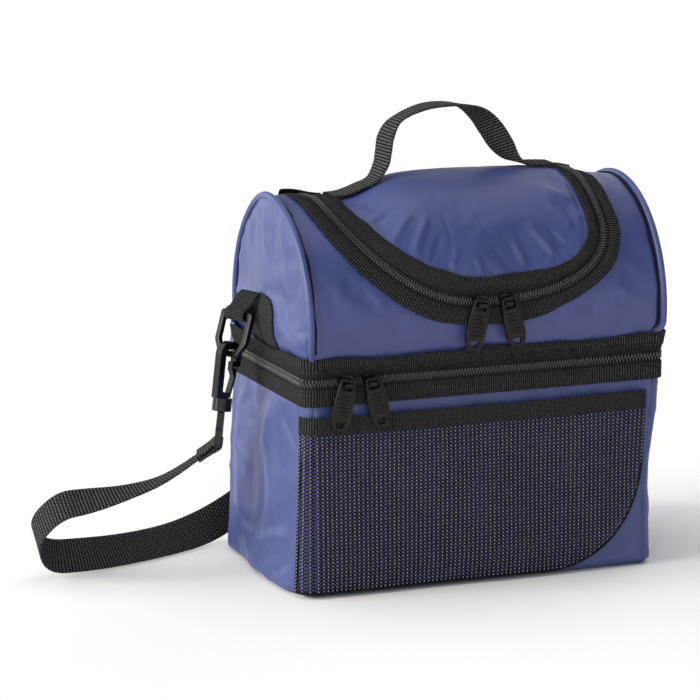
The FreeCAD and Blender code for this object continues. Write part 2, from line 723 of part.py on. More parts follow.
os.makedirs("parts", exist_ok=True)
for group in (lower_parts, upper_parts, lid_parts, side_hardware, zip_hardware):
    for node, shape in group().items():
        shape.exportStep(f"parts/{node}.step")
for side in ("left", "right"):
    frame = hook_frame(side)
    print(side, "hook pivot", frame.Base, "swivel", frame.multVec(V(COLLAR_X, 0, COLLAR_LOW)))
    print(side, "swivel axis", frame.multVec(UP) - frame.Base, "gate", frame.multVec(V(-2.4, 0, -30.5)))
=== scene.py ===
"""Looks of an insulated cooler bag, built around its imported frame.

Shapes are worked out in millimetres, in the frame's axes: X is the width,
-Y the front, Z is up. mesh_object() turns them to metres.
"""
import math

import bpy
import numpy as np
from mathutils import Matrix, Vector, geometry, noise


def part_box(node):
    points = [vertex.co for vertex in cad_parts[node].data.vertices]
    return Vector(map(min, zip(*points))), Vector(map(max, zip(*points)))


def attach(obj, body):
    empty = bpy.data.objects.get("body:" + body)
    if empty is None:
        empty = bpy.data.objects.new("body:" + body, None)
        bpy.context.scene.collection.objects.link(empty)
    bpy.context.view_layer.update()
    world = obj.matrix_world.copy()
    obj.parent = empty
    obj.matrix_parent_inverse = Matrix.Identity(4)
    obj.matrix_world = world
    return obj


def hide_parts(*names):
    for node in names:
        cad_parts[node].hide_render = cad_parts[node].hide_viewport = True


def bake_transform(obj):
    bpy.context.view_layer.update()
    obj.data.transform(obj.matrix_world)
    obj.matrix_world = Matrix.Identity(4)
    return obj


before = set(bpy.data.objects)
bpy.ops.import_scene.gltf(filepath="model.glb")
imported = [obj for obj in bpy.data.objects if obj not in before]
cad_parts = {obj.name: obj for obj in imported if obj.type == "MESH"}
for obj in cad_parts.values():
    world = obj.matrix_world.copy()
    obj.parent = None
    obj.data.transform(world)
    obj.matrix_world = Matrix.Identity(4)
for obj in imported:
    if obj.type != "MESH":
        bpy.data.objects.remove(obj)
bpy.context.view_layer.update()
scene = bpy.context.scene
MM = 0.001

LOWER = "lower_compartment"
UPPER = "upper_compartment"
LID = "lid"

# ------------------------------------------------------------ sizes from the frame
HALF_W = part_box("lower_bottom_panel")[1].x / MM
HALF_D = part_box("lower_bottom_panel")[1].y / MM
BAND_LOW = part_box("lower_band_webbing")[0].z / MM
BAND_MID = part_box("lower_band_webbing")[1].z / MM
UPPER_BAND_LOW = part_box("upper_band_webbing")[0].z / MM
UPPER_BAND_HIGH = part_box("upper_band_webbing")[1].z / MM
ZIP_Z = (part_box("lower_zip_chain")[1].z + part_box("upper_zip_chain")[0].z) / 2 / MM
LID_ZIP_Z = (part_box("lid_left_slider")[0].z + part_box("lid_left_slider")[1].z) / 2 / MM
HINGE_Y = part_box("lid_foam")[1].y / MM + 0.2
ROOF_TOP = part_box("upper_barrel_panel")[1].z / MM
POCKET_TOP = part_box("front_pocket_binding")[1].z / MM
POCKET_BAND_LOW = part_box("front_pocket_binding")[0].z / MM
CORNER_R = 8.0
FABRIC = 0.8
ZIP_BACK = 60.0                 # the side zips end here, short of the back
# How far the right wall leans out, and the heights and places over which it does.
LEAN, LEAN_Z, LEAN_RISE, LEAN_X, LEAN_WIDTH = 9.2, 60.0, 75.0, 80.0, 50.0


# ------------------------------------------------------------ small helpers
def smooth(x):
    """An even step from 0 to 1, level at both ends."""
    x = np.clip(x, 0, 1)
    return x * x * (3 - 2 * x)


def unit(v):
    """Vectors brought to a length of 1."""
    return v / np.maximum(np.linalg.norm(v, axis=-1, keepdims=True), 1e-12)


def lengths(points):
    """Running length along a line of points."""
    steps = np.linalg.norm(np.diff(points, axis=0), axis=1)
    return np.concatenate([[0], np.cumsum(steps)])


def along(points, at):
    """Points at the given lengths along a line."""
    run = lengths(points)
    return np.stack([np.interp(at, run, points[:, k]) for k in range(points.shape[1])], -1)


def catmull(controls, count):
    """A smooth line through every control row, evenly spaced in its first three columns."""
    c = np.asarray(controls, float)
    c = np.vstack([2 * c[0] - c[1], c, 2 * c[-1] - c[-2]])
    out = []
    t = np.linspace(0, 1, 24, endpoint=False)[:, None]
    for p0, p1, p2, p3 in zip(c, c[1:], c[2:], c[3:]):
        out.append(0.5 * (2 * p1 + (p2 - p0) * t + (2 * p0 - 5 * p1 + 4 * p2 - p3) * t ** 2
                          + (3 * p1 - p0 - 3 * p2 + p3) * t ** 3))
    line = np.vstack(out + [c[-2:-1]])
    run = lengths(line[:, :3])
    at = np.linspace(0, run[-1], count)
    return np.stack([np.interp(at, run, line[:, k]) for k in range(line.shape[1])], -1)


def ripple(points, size, seed):
    """Smooth noise between -1 and 1 at each point."""
    shift = Vector((seed * 17.3, seed * 5.1, seed * 9.7))
    return np.array([noise.noise(Vector(p) / size + shift) for p in points])


def mesh_object(name, points, faces, material, uv=None):
    """A smooth-shaded mesh. uv has one row per face corner."""
    mesh = bpy.data.meshes.new(name)
    mesh.from_pydata((np.asarray(points, float) * MM).tolist(), [], [list(f) for f in faces])
    mesh.polygons.foreach_set("use_smooth", [True] * len(mesh.polygons))
    if uv is not None:
        layer = mesh.uv_layers.new(name="UVMap")
        layer.data.foreach_set("uv", np.asarray(uv, np.float32).ravel())
    mesh.materials.append(material)
    obj = bpy.data.objects.new(name, mesh)
    scene.collection.objects.link(obj)
    return obj


def mesh_points(mesh):
    """A mesh's points in millimetres."""
    points = np.zeros(len(mesh.vertices) * 3)
    mesh.vertices.foreach_get("co", points)
    return points.reshape(-1, 3) / MM


def volume_sign(points, quads):
    """Above 0 where the quads of a closed solid face outwards."""
    a, b, c, d = (points[quads[:, k]] for k in range(4))
    total = np.einsum("ij,ij->i", a, np.cross(b, c)).sum()
    return total + np.einsum("ij,ij->i", a, np.cross(c, d)).sum()


def sweep(name, rings, material, closed=False, run=None):
    """A closed solid through rings of points, (n, m, 3). UV is in millimetres, or U is run."""
    n, m = rings.shape[:2]
    points = rings.reshape(-1, 3)
    i, j = np.meshgrid(np.arange(n if closed else n - 1), np.arange(m), indexing="ij")
    i, j = i.ravel(), j.ravel()
    i2, j2 = (i + 1) % n, (j + 1) % m
    quads = np.stack([i * m + j, i * m + j2, i2 * m + j2, i2 * m + j], 1)
    middle = rings.mean(1)
    u = lengths(np.vstack([middle, middle[:1]])) if run is None else run
    widest = rings[n // 2]
    v = lengths(np.vstack([widest, widest[:1]]))
    uv = np.stack([np.stack([u[i], u[i], u[i + 1], u[i + 1]], 1),
                   np.stack([v[j], v[j + 1], v[j + 1], v[j]], 1)], -1)
    if volume_sign(points, quads) < 0:
        quads = quads[:, ::-1]
        uv = uv[:, ::-1]
    faces = quads.tolist()
    uv = uv.reshape(-1, 2)
    if not closed:
        first = list(range(m))
        last = list(range((n - 1) * m, n * m))
        flip = quads[0][0] == 0 and quads[0][1] == 1
        faces += [first[::-1], last] if flip else [first, last[::-1]]
        uv = np.vstack([uv, np.zeros((2 * m, 2))])
    return mesh_object(name, points, faces, material, uv)


def tube(name, path, radius, sides, material, closed=False):
    """A round solid along a line of points."""
    path = np.asarray(path, float)
    if closed:
        ahead, behind = np.roll(path, -1, 0), np.roll(path, 1, 0)
        tangent = unit(ahead - behind)
    else:
        tangent = unit(np.gradient(path, axis=0))
    normal = np.zeros_like(path)
    start = np.array([0.3, 0.2, 0.9])
    last = unit(start - tangent[0] * (start @ tangent[0]))
    for k, t in enumerate(tangent):
        last = last - t * (last @ t)
        last = last / np.linalg.norm(last)
        normal[k] = last
    side = np.cross(tangent, normal)
    angle = np.linspace(0, 2 * math.pi, sides, endpoint=False)
    radius = np.broadcast_to(np.asarray(radius, float), len(path))[:, None, None]
    rings = path[:, None] + radius * (np.cos(angle)[None, :, None] * normal[:, None]
                                      + np.sin(angle)[None, :, None] * side[:, None])
    return sweep(name, rings, material, closed)


def tape_section(low, high, thickness, across=9):
    """A closed outline of a flat tape: columns are the place across it and the height."""
    edge = min(0.5, (high - low) / 4)
    inside = np.linspace(low + edge, high - edge, across)
    top = np.stack([inside, np.full(across, thickness)], 1)
    bottom = np.stack([inside[::-1], np.zeros(across)], 1)
    right = [[high, 0.75 * thickness], [high, 0.25 * thickness]]
    left = [[low, 0.25 * thickness], [low, 0.75 * thickness]]
    return np.vstack([top, right, bottom, left])


def ribbed_tape(name, place, length, section, material, rib=0.0, pitch=1.6, start=0.0):
    """A tape laid by place(u, across, height), with ribs across it."""
    ribs = int(round(length / pitch))
    steps = 4 * ribs if rib else int(length / 2)
    turns = np.linspace(0, ribs, steps + 1)
    u = start + length * turns / ribs
    top = section[:, 1] > 0.5 * section[:, 1].max()
    rise = rib * (0.5 - 0.5 * np.cos(2 * math.pi * turns))
    height = section[None, :, 1] + rise[:, None] * top[None, :]
    across = np.broadcast_to(section[None, :, 0], height.shape)
    rings = place(np.broadcast_to(u[:, None], height.shape), across, height)
    return sweep(name, rings, material, run=turns)


def fit(obj, body, nodes=()):
    """Puts a piece on its body, and hides the frame's nodes that it stands for."""
    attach(obj, body)
    if nodes:
        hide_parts(*nodes)


def join(name, objects):
    """Makes one object of several meshes."""
    with bpy.context.temp_override(active_object=objects[0], selected_editable_objects=objects):
        bpy.ops.object.join()
    objects[0].name = name
    return objects[0]


# ------------------------------------------------------------ materials
def material(name, colour, roughness):
    """A new material, with its node tree and its shader."""
    made = bpy.data.materials.new(name)
    made.use_nodes = True
    shader = made.node_tree.nodes["Principled BSDF"]
    shader.inputs["Base Color"].default_value = (*colour, 1)
    shader.inputs["Roughness"].default_value = roughness
    return made, made.node_tree, shader


def sums(tree, operation, *values, clamp=False):
    """One step of arithmetic: each value is a number or another node's output."""
    made = tree.nodes.new("ShaderNodeMath")
    made.operation = operation
    made.use_clamp = clamp
    for k, value in enumerate(values):
        if hasattr(value, "is_output"):
            tree.links.new(value, made.inputs[k])
        else:
            made.inputs[k].default_value = value
    return made.outputs[0]


def mix_colours(tree, share, first, second):
    """The colour between first, at share 0, and second, at share 1."""
    made = tree.nodes.new("ShaderNodeMix")
    made.data_type = "RGBA"
    tree.links.new(share, made.inputs["Factor"])
    for slot_name, colour in (("A", first), ("B", second)):
        socket = [s for s in made.inputs if s.name == slot_name and s.type == "RGBA"][0]
        socket.default_value = (*colour, 1)
    return [s for s in made.outputs if s.type == "RGBA"][0]


def add_bump(tree, shader, height, distance, strength, after=None):
    """Relief from a height, on top of another relief if after is given."""
    bump = tree.nodes.new("ShaderNodeBump")
    bump.inputs["Strength"].default_value = strength
    bump.inputs["Distance"].default_value = distance
    tree.links.new(height, bump.inputs["Height"])
    if after is not None:
        tree.links.new(after, bump.inputs["Normal"])
    tree.links.new(bump.outputs["Normal"], shader.inputs["Normal"])
    return bump.outputs["Normal"]


def noise_node(tree, vector, scale, detail=3.0, rough=0.55):
    """Noise between 0 and 1; scale is in waves per unit of the vector."""
    made = tree.nodes.new("ShaderNodeTexNoise")
    made.inputs["Scale"].default_value = scale
    made.inputs["Detail"].default_value = detail
    made.inputs["Roughness"].default_value = rough
    tree.links.new(vector, made.inputs["Vector"])
    return made.outputs["Fac"]


def coated_fabric(name, colour, deep):
    """Navy polyester with a satin coating: soft creases, fine weave, uneven sheen."""
    made, tree, shader = material(name, colour, 0.42)
    place = tree.nodes.new("ShaderNodeTexCoord").outputs["Object"]
    cloud = noise_node(tree, place, 26.0, 4.0)
    tree.links.new(mix_colours(tree, cloud, deep, colour), shader.inputs["Base Color"])
    patchy = noise_node(tree, place, 60.0, 3.0)
    tree.links.new(sums(tree, "MULTIPLY_ADD", patchy, 0.08, 0.4), shader.inputs["Roughness"])
    shader.inputs["Specular IOR Level"].default_value = 0.5
    shader.inputs["Sheen Weight"].default_value = 0.06
    shader.inputs["Sheen Roughness"].default_value = 0.4
    shader.inputs["Sheen Tint"].default_value = (0.55, 0.6, 0.9, 1)
    creases = noise_node(tree, place, 75.0, 5.0, 0.5)
    first = add_bump(tree, shader, creases, 0.0008, 0.4)
    weave = noise_node(tree, place, 1400.0, 2.0)
    add_bump(tree, shader, weave, 0.00012, 0.5, first)
    return made


def webbing(name, dark, light, rows, contrast):
    """Black ribbed tape: U counts its ribs, V is in millimetres, and rows is a yarn's width there. Its
    colour is darker in the rib valleys, a painted shade, and lighter on the rib tops, a painted
    highlight; the twill and heather are the yarn's own tone.
    """
    made, tree, shader = material(name, dark, 0.85)
    uv = tree.nodes.new("ShaderNodeTexCoord").outputs["UV"]
    parts = tree.nodes.new("ShaderNodeSeparateXYZ")
    tree.links.new(uv, parts.inputs[0])
    turns = sums(tree, "MULTIPLY", parts.outputs[0], 2 * math.pi)
    rib = sums(tree, "MULTIPLY_ADD", sums(tree, "COSINE", turns), -0.5, 0.5)
    cross = sums(tree, "MULTIPLY", parts.outputs[1], 2 * math.pi / rows)
    shifted = sums(tree, "MULTIPLY_ADD", parts.outputs[0], math.pi, cross)
    yarn = sums(tree, "MULTIPLY_ADD", sums(tree, "SINE", shifted), 0.5, 0.5)
    # Painted shade and highlight: the colour follows the ribs' height, dark in the valleys and light on
    # the tops; the same height gives the bump.
    rib_height_painted_shade = sums(tree, "MULTIPLY", rib, sums(tree, "MULTIPLY_ADD", yarn, 0.5, 0.5))
    heather = noise_node(tree, uv, 1.1, 2.0, 0.7)
    spread = sums(tree, "MULTIPLY_ADD", heather, 2.4, -0.7)
    share = sums(tree, "MULTIPLY", rib_height_painted_shade, spread, clamp=True)
    share = sums(tree, "MULTIPLY", share, contrast, clamp=True)
    tree.links.new(mix_colours(tree, share, dark, light), shader.inputs["Base Color"])
    shader.inputs["Specular IOR Level"].default_value = 0.06
    add_bump(tree, shader, rib_height_painted_shade, 0.0003, 1.0)
    return made


def satin_plastic(name, colour, roughness, level=0.5):
    """Smooth plastic, enamel or nylon with a fine speckled grain."""
    made, tree, shader = material(name, colour, roughness)
    shader.inputs["Specular IOR Level"].default_value = level
    place = tree.nodes.new("ShaderNodeTexCoord").outputs["Object"]
    speck = noise_node(tree, place, 900.0, 3.0)
    uneven = 0.18
    rough = sums(tree, "MULTIPLY_ADD", noise_node(tree, place, 120.0), uneven, roughness - uneven / 2)
    tree.links.new(rough, shader.inputs["Roughness"])
    lighter = tuple(c * 1.6 for c in colour)
    tree.links.new(mix_colours(tree, speck, colour, lighter), shader.inputs["Base Color"])
    add_bump(tree, shader, speck, 0.00004, 0.6)
    return made


def lining(name):
    """Silver insulating film with fine crinkles."""
    made, tree, shader = material(name, (0.66, 0.67, 0.69), 0.34)
    shader.inputs["Metallic"].default_value = 0.75
    place = tree.nodes.new("ShaderNodeTexCoord").outputs["Object"]
    crinkle = noise_node(tree, place, 95.0, 6.0, 0.62)
    tree.links.new(sums(tree, "MULTIPLY_ADD", crinkle, 0.3, 0.2), shader.inputs["Roughness"])
    add_bump(tree, shader, crinkle, 0.002, 0.7)
    return made


NAVY = coated_fabric("navy_coated_fabric", (0.041, 0.055, 0.190), (0.035, 0.048, 0.168))
# Each tape's light colour is the painted highlight on its rib tops; its dark colour is the yarn and the
# painted shade in its valleys.
BLACK_TAPE = webbing("black_grosgrain", (0.0006, 0.0006, 0.0008), (0.072, 0.072, 0.077), 2.0, 1.6)
FINE_TAPE = webbing("black_fine_tape", (0.0008, 0.0008, 0.001), (0.06, 0.06, 0.064), 1.4, 1.4)
STRAP_TAPE = webbing("strap_webbing", (0.001, 0.001, 0.0013), (0.12, 0.12, 0.125), 3.0, 1.4)
HANDLE_TAPE = webbing("handle_webbing", (0.001, 0.001, 0.0013), (0.14, 0.14, 0.145), 2.6, 1.4)
COIL = satin_plastic("zip_coil_nylon", (0.032, 0.032, 0.034), 0.25, level=0.5)
THREAD = satin_plastic("black_thread", (0.004, 0.004, 0.005), 0.6, level=0.1)
MESH = satin_plastic("pocket_mesh_yarn", (0.004, 0.004, 0.005), 0.6, level=0.1)
# The knots are the mesh's own black yarn; their light grey is a painted highlight on their raised tops.
KNOT_HIGHLIGHT = satin_plastic("pocket_mesh_knots_painted_highlight", (0.17, 0.17, 0.18), 0.4)
PLASTIC = satin_plastic("black_moulded_plastic", (0.002, 0.002, 0.0025), 0.22, level=0.35)
ENAMEL = satin_plastic("dark_enamelled_metal", (0.003, 0.0028, 0.0022), 0.26, level=0.25)
SILVER = lining("silver_lining_film")


# ------------------------------------------------------------ surfaces of the bag
# The slack walls: the flare at the foot, the belly of the sides and of the front and back,
# the round edge underneath, and the left wall's own bulge at its foot, by place and height.
FLARE, SIDE_BELLY, FACE_BELLY, UNDER_R = 4.6, 3.2, 1.0, 6.0
FOOT_BULGE, FOOT_FROM, FOOT_RISE, FOOT_FALL, FOOT_HIGH = 6.0, 30.0, 40.0, 22.0, 32.0


def perimeter_table():
    """The lower compartment's outline from the left side's back end, round the front."""
    w, d, r = HALF_W, HALF_D, CORNER_R
    runs = []
    corners = [(-1, -1, 180), (1, -1, 270), (1, 1, 0), (-1, 1, 90)]
    for sx, sy, first in corners:
        angle = np.radians(np.linspace(first, first + 90, 33))
        runs.append(np.stack([sx * (w - r) + r * np.cos(angle), sy * (d - r) + r * np.sin(angle),
                              np.cos(angle), np.sin(angle)], 1))
    start = np.array([[-w, d - r, -1, 0]])
    return np.vstack([start] + runs)


PERIMETER = perimeter_table()
PERIMETER_RUN = lengths(PERIMETER[:, :2])
LEFT_LEN = 2 * (HALF_D - CORNER_R)
ARC_LEN = math.pi / 2 * CORNER_R
FRONT_LEN = 2 * (HALF_W - CORNER_R)
FRONT_START = LEFT_LEN + ARC_LEN
RIGHT_START = FRONT_START + FRONT_LEN + ARC_LEN
BACK_START = RIGHT_START + LEFT_LEN + ARC_LEN
ALL_ROUND = BACK_START + FRONT_LEN + ARC_LEN


def outline(u):
    """Place and outward direction at a length round the lower compartment."""
    u = np.mod(u, ALL_ROUND)
    return [np.interp(u, PERIMETER_RUN, PERIMETER[:, k]) for k in range(4)]


def bump_line(u, start, length):
    """0 at both ends of a wall and 1 at its middle."""
    t = np.clip((np.mod(u, ALL_ROUND) - start) / length, 0, 1)
    return np.sin(math.pi * t)


def wall_swell(u, z):
    """How far the slack fabric stands off the straight outline."""
    t = np.clip(z / BAND_LOW, 0, 1)
    flare = FLARE * (1 - t) ** 1.3
    belly = np.sin(math.pi * np.clip(t, 0, 1)) ** 0.8
    sides = bump_line(u, 0, LEFT_LEN) + bump_line(u, RIGHT_START, LEFT_LEN)
    faces = bump_line(u, FRONT_START, FRONT_LEN) + bump_line(u, BACK_START, FRONT_LEN)
    under = UNDER_R * (1 - np.sqrt(np.clip(1 - np.clip((UNDER_R - z) / UNDER_R, 0, 1) ** 2, 0, 1)))
    side = np.mod(u, ALL_ROUND)
    foot = FOOT_BULGE * smooth((side - FOOT_FROM) / FOOT_RISE)
    foot = foot * smooth((LEFT_LEN + 4 - side) / FOOT_FALL) * np.clip(1 - z / FOOT_HIGH, 0, 1) ** 1.3
    belly = belly * (SIDE_BELLY * sides + FACE_BELLY * faces)
    return np.where(z < BAND_LOW, flare + foot + belly - under, 0)


def leaned(x, z):
    """The bag leans out to the right towards the top of the lower compartment."""
    return x + LEAN * smooth((z - LEAN_Z) / LEAN_RISE) * smooth((x - LEAN_X) / LEAN_WIDTH)


def wall(u, z, lift=0.0):
    """A point on the lower compartment: a length round it, a height, a lift off it."""
    x, y, nx, ny = outline(u)
    out = wall_swell(u, z) + lift
    return np.stack([leaned(x, z) + nx * out, y + ny * out, z + 0 * out], -1)


# The arched section: upright feet, which stand out a little more as they rise, and
# a half ellipse on them.
ROOF_LOW = 161.0
ROOF_AXIS = 185.0
FOOT_LIFT = 0.4
ARCH_OUT = 5.0
FOOT_POINTS, ARCH_POINTS = 25, 181


def roof_table():
    """The arched section: depth and height by length from the front foot."""
    half = HALF_D + ARCH_OUT
    rise = ROOF_TOP - ROOF_AXIS
    z = np.linspace(ROOF_LOW, ROOF_AXIS, FOOT_POINTS)
    swing = np.sin(np.linspace(0, math.pi / 2, FOOT_POINTS))
    y = -(HALF_D + FOOT_LIFT + (ARCH_OUT - FOOT_LIFT) * swing)
    angle = np.linspace(0, math.pi, ARCH_POINTS)[1:]
    arc = np.stack([-half * np.cos(angle), ROOF_AXIS + rise * np.sin(angle)], 1)
    return np.vstack([np.stack([y, z], 1), arc[:-1], np.stack([-y[::-1], z[::-1]], 1)])


ROOF = roof_table()
ROOF_RUN = lengths(ROOF)
ROOF_TANGENT = unit(np.gradient(ROOF, axis=0))
ROOF_LENGTH = ROOF_RUN[-1]


def run_at_depth(y):
    """The length along the arch at a depth, above its upright feet."""
    arch = slice(FOOT_POINTS - 1, 1 - FOOT_POINTS)
    return float(np.interp(y, ROOF[arch, 0], ROOF_RUN[arch]))


def run_at_height(z):
    """The length along the front of the arch at a height."""
    front = slice(0, FOOT_POINTS + ARCH_POINTS // 2)
    return float(np.interp(z, ROOF[front, 1], ROOF_RUN[front]))


ZIP_RUN = run_at_height(LID_ZIP_Z)
HINGE_RUN = run_at_depth(HINGE_Y)
END_X = 126.5
END_LEAN = 9.0                  # the right end stands out, like the wall below it
CROWN, DIP = 5.0, 4.0
HOLLOW, HOLLOW_X, HOLLOW_R = 13.0, -78.0, 30.0
DRAWN_IN = 5.0


def crown(x, s):
    """The roof's slack crown, its dip towards the piping, and the hollow on its left."""
    arch = np.sin(math.pi * np.clip(s / ROOF_LENGTH, 0, 1)) ** 2
    middle = np.clip(1 - (x / END_X) ** 2, 0, 1)
    dip = smooth((np.abs(x) - 96) / 30)
    hollow = np.exp(-((x - HOLLOW_X) / HOLLOW_R) ** 2)
    return arch * (CROWN * middle - DIP * dip - HOLLOW * hollow * arch)


def drawn_in(y):
    """The left end stands in a little towards the back."""
    return DRAWN_IN * smooth((y + 20) / 80)


def roof(x, s, lift):
    """A point on the upper compartment's arched fabric."""
    inside = np.clip(s, 0, ROOF_LENGTH)
    y = np.interp(inside, ROOF_RUN, ROOF[:, 0])
    z = np.interp(inside, ROOF_RUN, ROOF[:, 1])
    ty = np.interp(inside, ROOF_RUN, ROOF_TANGENT[:, 0])
    tz = np.interp(inside, ROOF_RUN, ROOF_TANGENT[:, 1])
    size = np.hypot(ty, tz)
    out = crown(x, s) + lift
    wide = x + END_LEAN * smooth((x - 110) / 18) + drawn_in(y) * smooth((-x - 100) / 26)
    return np.stack([wide + 0 * out, y - tz / size * out, z + ty / size * out], -1)


# The lid zip, in the roof's flat coordinates: a wide ellipse to the left and a
# squarer corner to the right, both running straight back to the hinge.
LEFT_HALF, LEFT_RISE = 97.0, 95.0
RIGHT_HALF, RIGHT_RISE, RIGHT_POWER = 98.0, 52.0, 2.4
BINDING_NEAR, BINDING_FAR = 4.2, 16.5
LID_STAND = 2.0
RIGHT_NARROWING = 0.25


def zip_line():
    """The lid zip's line, from the left end at the hinge round to the right end."""
    angle = np.linspace(0, math.pi / 2, 200)
    left = np.stack([-LEFT_HALF * np.sin(angle), ZIP_RUN + LEFT_RISE * (1 - np.cos(angle))], 1)
    power = 2 / RIGHT_POWER
    right = np.stack([RIGHT_HALF * np.sin(angle) ** power,
                      ZIP_RUN + RIGHT_RISE * (1 - np.cos(angle) ** power)], 1)
    left = np.vstack([left, [[-LEFT_HALF, HINGE_RUN]]])
    right = np.vstack([right, [[RIGHT_HALF, HINGE_RUN]]])
    line = np.vstack([left[::-1], right[1:]])
    line = along(line, np.linspace(0, lengths(line)[-1], 601))
    for _ in range(12):
        line[1:-1] = (line[:-2] + 2 * line[1:-1] + line[2:]) / 4
    return line


ZIP = zip_line()
ZIP_LENGTHS = lengths(ZIP)
ZIP_TANGENT = unit(np.gradient(ZIP, axis=0))
ZIP_TOTAL = ZIP_LENGTHS[-1]


def beside_zip(u, across):
    """Flat roof coordinates beside the lid zip: positive is outside the lid."""
    x = np.interp(u, ZIP_LENGTHS, ZIP[:, 0])
    s = np.interp(u, ZIP_LENGTHS, ZIP[:, 1])
    tx = np.interp(u, ZIP_LENGTHS, ZIP_TANGENT[:, 0])
    ts = np.interp(u, ZIP_LENGTHS, ZIP_TANGENT[:, 1])
    size = np.hypot(tx, ts)
    narrow = 1 - RIGHT_NARROWING * smooth((x - 20) / 60) * smooth((np.abs(across) - 3) / 4)
    return x + ts / size * across * narrow, s - tx / size * across * narrow


def trench(u, across):
    """The zip lies in a shallow trench between its raised, uneven bindings."""
    inner = 2.6 * smooth((-across - 3) / 8)
    outer = 1.4 * smooth((across - 3) / 7)
    wave = 0.7 * np.sin(u / 23.0) + 0.35 * np.sin(u / 6.7 + across / 4)
    wave += 0.2 * np.sin(u / 2.9 - across / 3)
    return inner + outer + wave * smooth((np.abs(across) - 5) / 6) - 0.4


def on_lid_zip(u, across, height):
    """Along the lid zip, with ruffled edges that sink towards the hinge."""
    edge = smooth((np.abs(across) - 8) / 8) * np.sign(across)
    x, s = beside_zip(u, across + edge * (0.5 * np.sin(u / 11.0) + 0.25 * np.sin(u / 4.1)))
    height = height - 1.5 * smooth((s - HINGE_RUN + 60) / 40) * smooth((across - 3) / 7)
    return roof(x, s, trench(u, across) + height)


SIDE_ZIP_START = HALF_D - CORNER_R - ZIP_BACK
SIDE_ZIP_LENGTH = RIGHT_START + LEFT_LEN - 2 * SIDE_ZIP_START


def on_side(u, across, height):
    """Along the zip between the compartments: across is a height above the floor."""
    proud = smooth((np.abs(across - ZIP_Z) - 2) / 3)
    return wall(u, across, proud + height)


# ------------------------------------------------------------ camera and lights
def place_camera():
    """The view from the front, a little to the left and above."""
    aim = Vector((-67.4, 0.0, 155.2)) * MM
    azimuth = math.radians(-21.9)
    elevation = math.radians(11.7)
    distance = 2.86
    level = math.cos(elevation)
    back = Vector((math.sin(azimuth) * level, -math.cos(azimuth) * level, math.sin(elevation)))
    data = bpy.data.cameras.new("camera")
    data.lens = 209.6
    data.sensor_width = 36.0
    data.clip_start = 0.05
    data.clip_end = 60.0
    camera = bpy.data.objects.new("camera", data)
    scene.collection.objects.link(camera)
    camera.location = aim + back * distance
    camera.rotation_mode = "QUATERNION"
    camera.rotation_quaternion = back.to_track_quat("Z", "Y")
    scene.camera = camera


def sun(name, towards, strength, spread, colour):
    """A wide distant light, shining from a direction."""
    data = bpy.data.lights.new(name, "SUN")
    data.energy = strength
    data.color = colour
    data.angle = math.radians(spread)
    light = bpy.data.objects.new(name, data)
    scene.collection.objects.link(light)
    light.rotation_mode = "QUATERNION"
    light.rotation_quaternion = Vector(towards).to_track_quat("Z", "Y")


# Name, direction towards the light, strength, spread in degrees, and colour.
LIGHTS = [
    ("key_left", (-0.95, 0.02, 0.34), 4.0, 38, (1.0, 0.98, 0.86)),
    ("rim_left", (-0.55, 0.72, 0.32), 1.1, 60, (1, 1, 1)),
    ("top_soft", (0.05, 0.1, 1.0), 1.0, 60, (1, 1, 1)),
    ("front_fill", (-0.3, -0.9, 0.12), 1.35, 70, (1, 1, 1)),
    ("back_right", (0.8, 0.6, 0.4), 0.6, 50, (1, 1, 1)),
]
FLOOR_HALF = 30000


def studio():
    """A pale floor and wide, soft lights: the main one is to the left."""
    world = bpy.data.worlds.new("studio")
    world.use_nodes = True
    tree = world.node_tree
    background = tree.nodes["Background"]
    parts = tree.nodes.new("ShaderNodeSeparateXYZ")
    tree.links.new(tree.nodes.new("ShaderNodeTexCoord").outputs["Generated"], parts.inputs[0])
    rise = sums(tree, "MULTIPLY_ADD", parts.outputs[2], 7.0, -0.5, clamp=True)
    tree.links.new(mix_colours(tree, rise, (0.95, 0.96, 0.98), (0.15, 0.152, 0.16)),
                   background.inputs["Color"])
    background.inputs["Strength"].default_value = 1.0
    scene.world = world
    for light in LIGHTS:
        sun(*light)
    corners = [(-FLOOR_HALF, -FLOOR_HALF, 0), (FLOOR_HALF, -FLOOR_HALF, 0), (FLOOR_HALF, FLOOR_HALF, 0),
               (-FLOOR_HALF, FLOOR_HALF, 0)]
    floor = mesh_object("floor", corners, [(0, 1, 2, 3)], FLOOR)


def floor_material():
    """Matt white paper."""
    made, _, shader = material("pale_floor", (0.88, 0.88, 0.885), 0.9)
    shader.inputs["Specular IOR Level"].default_value = 0.0
    return made


FLOOR = floor_material()
place_camera()
studio()
scene.view_settings.view_transform = "Standard"


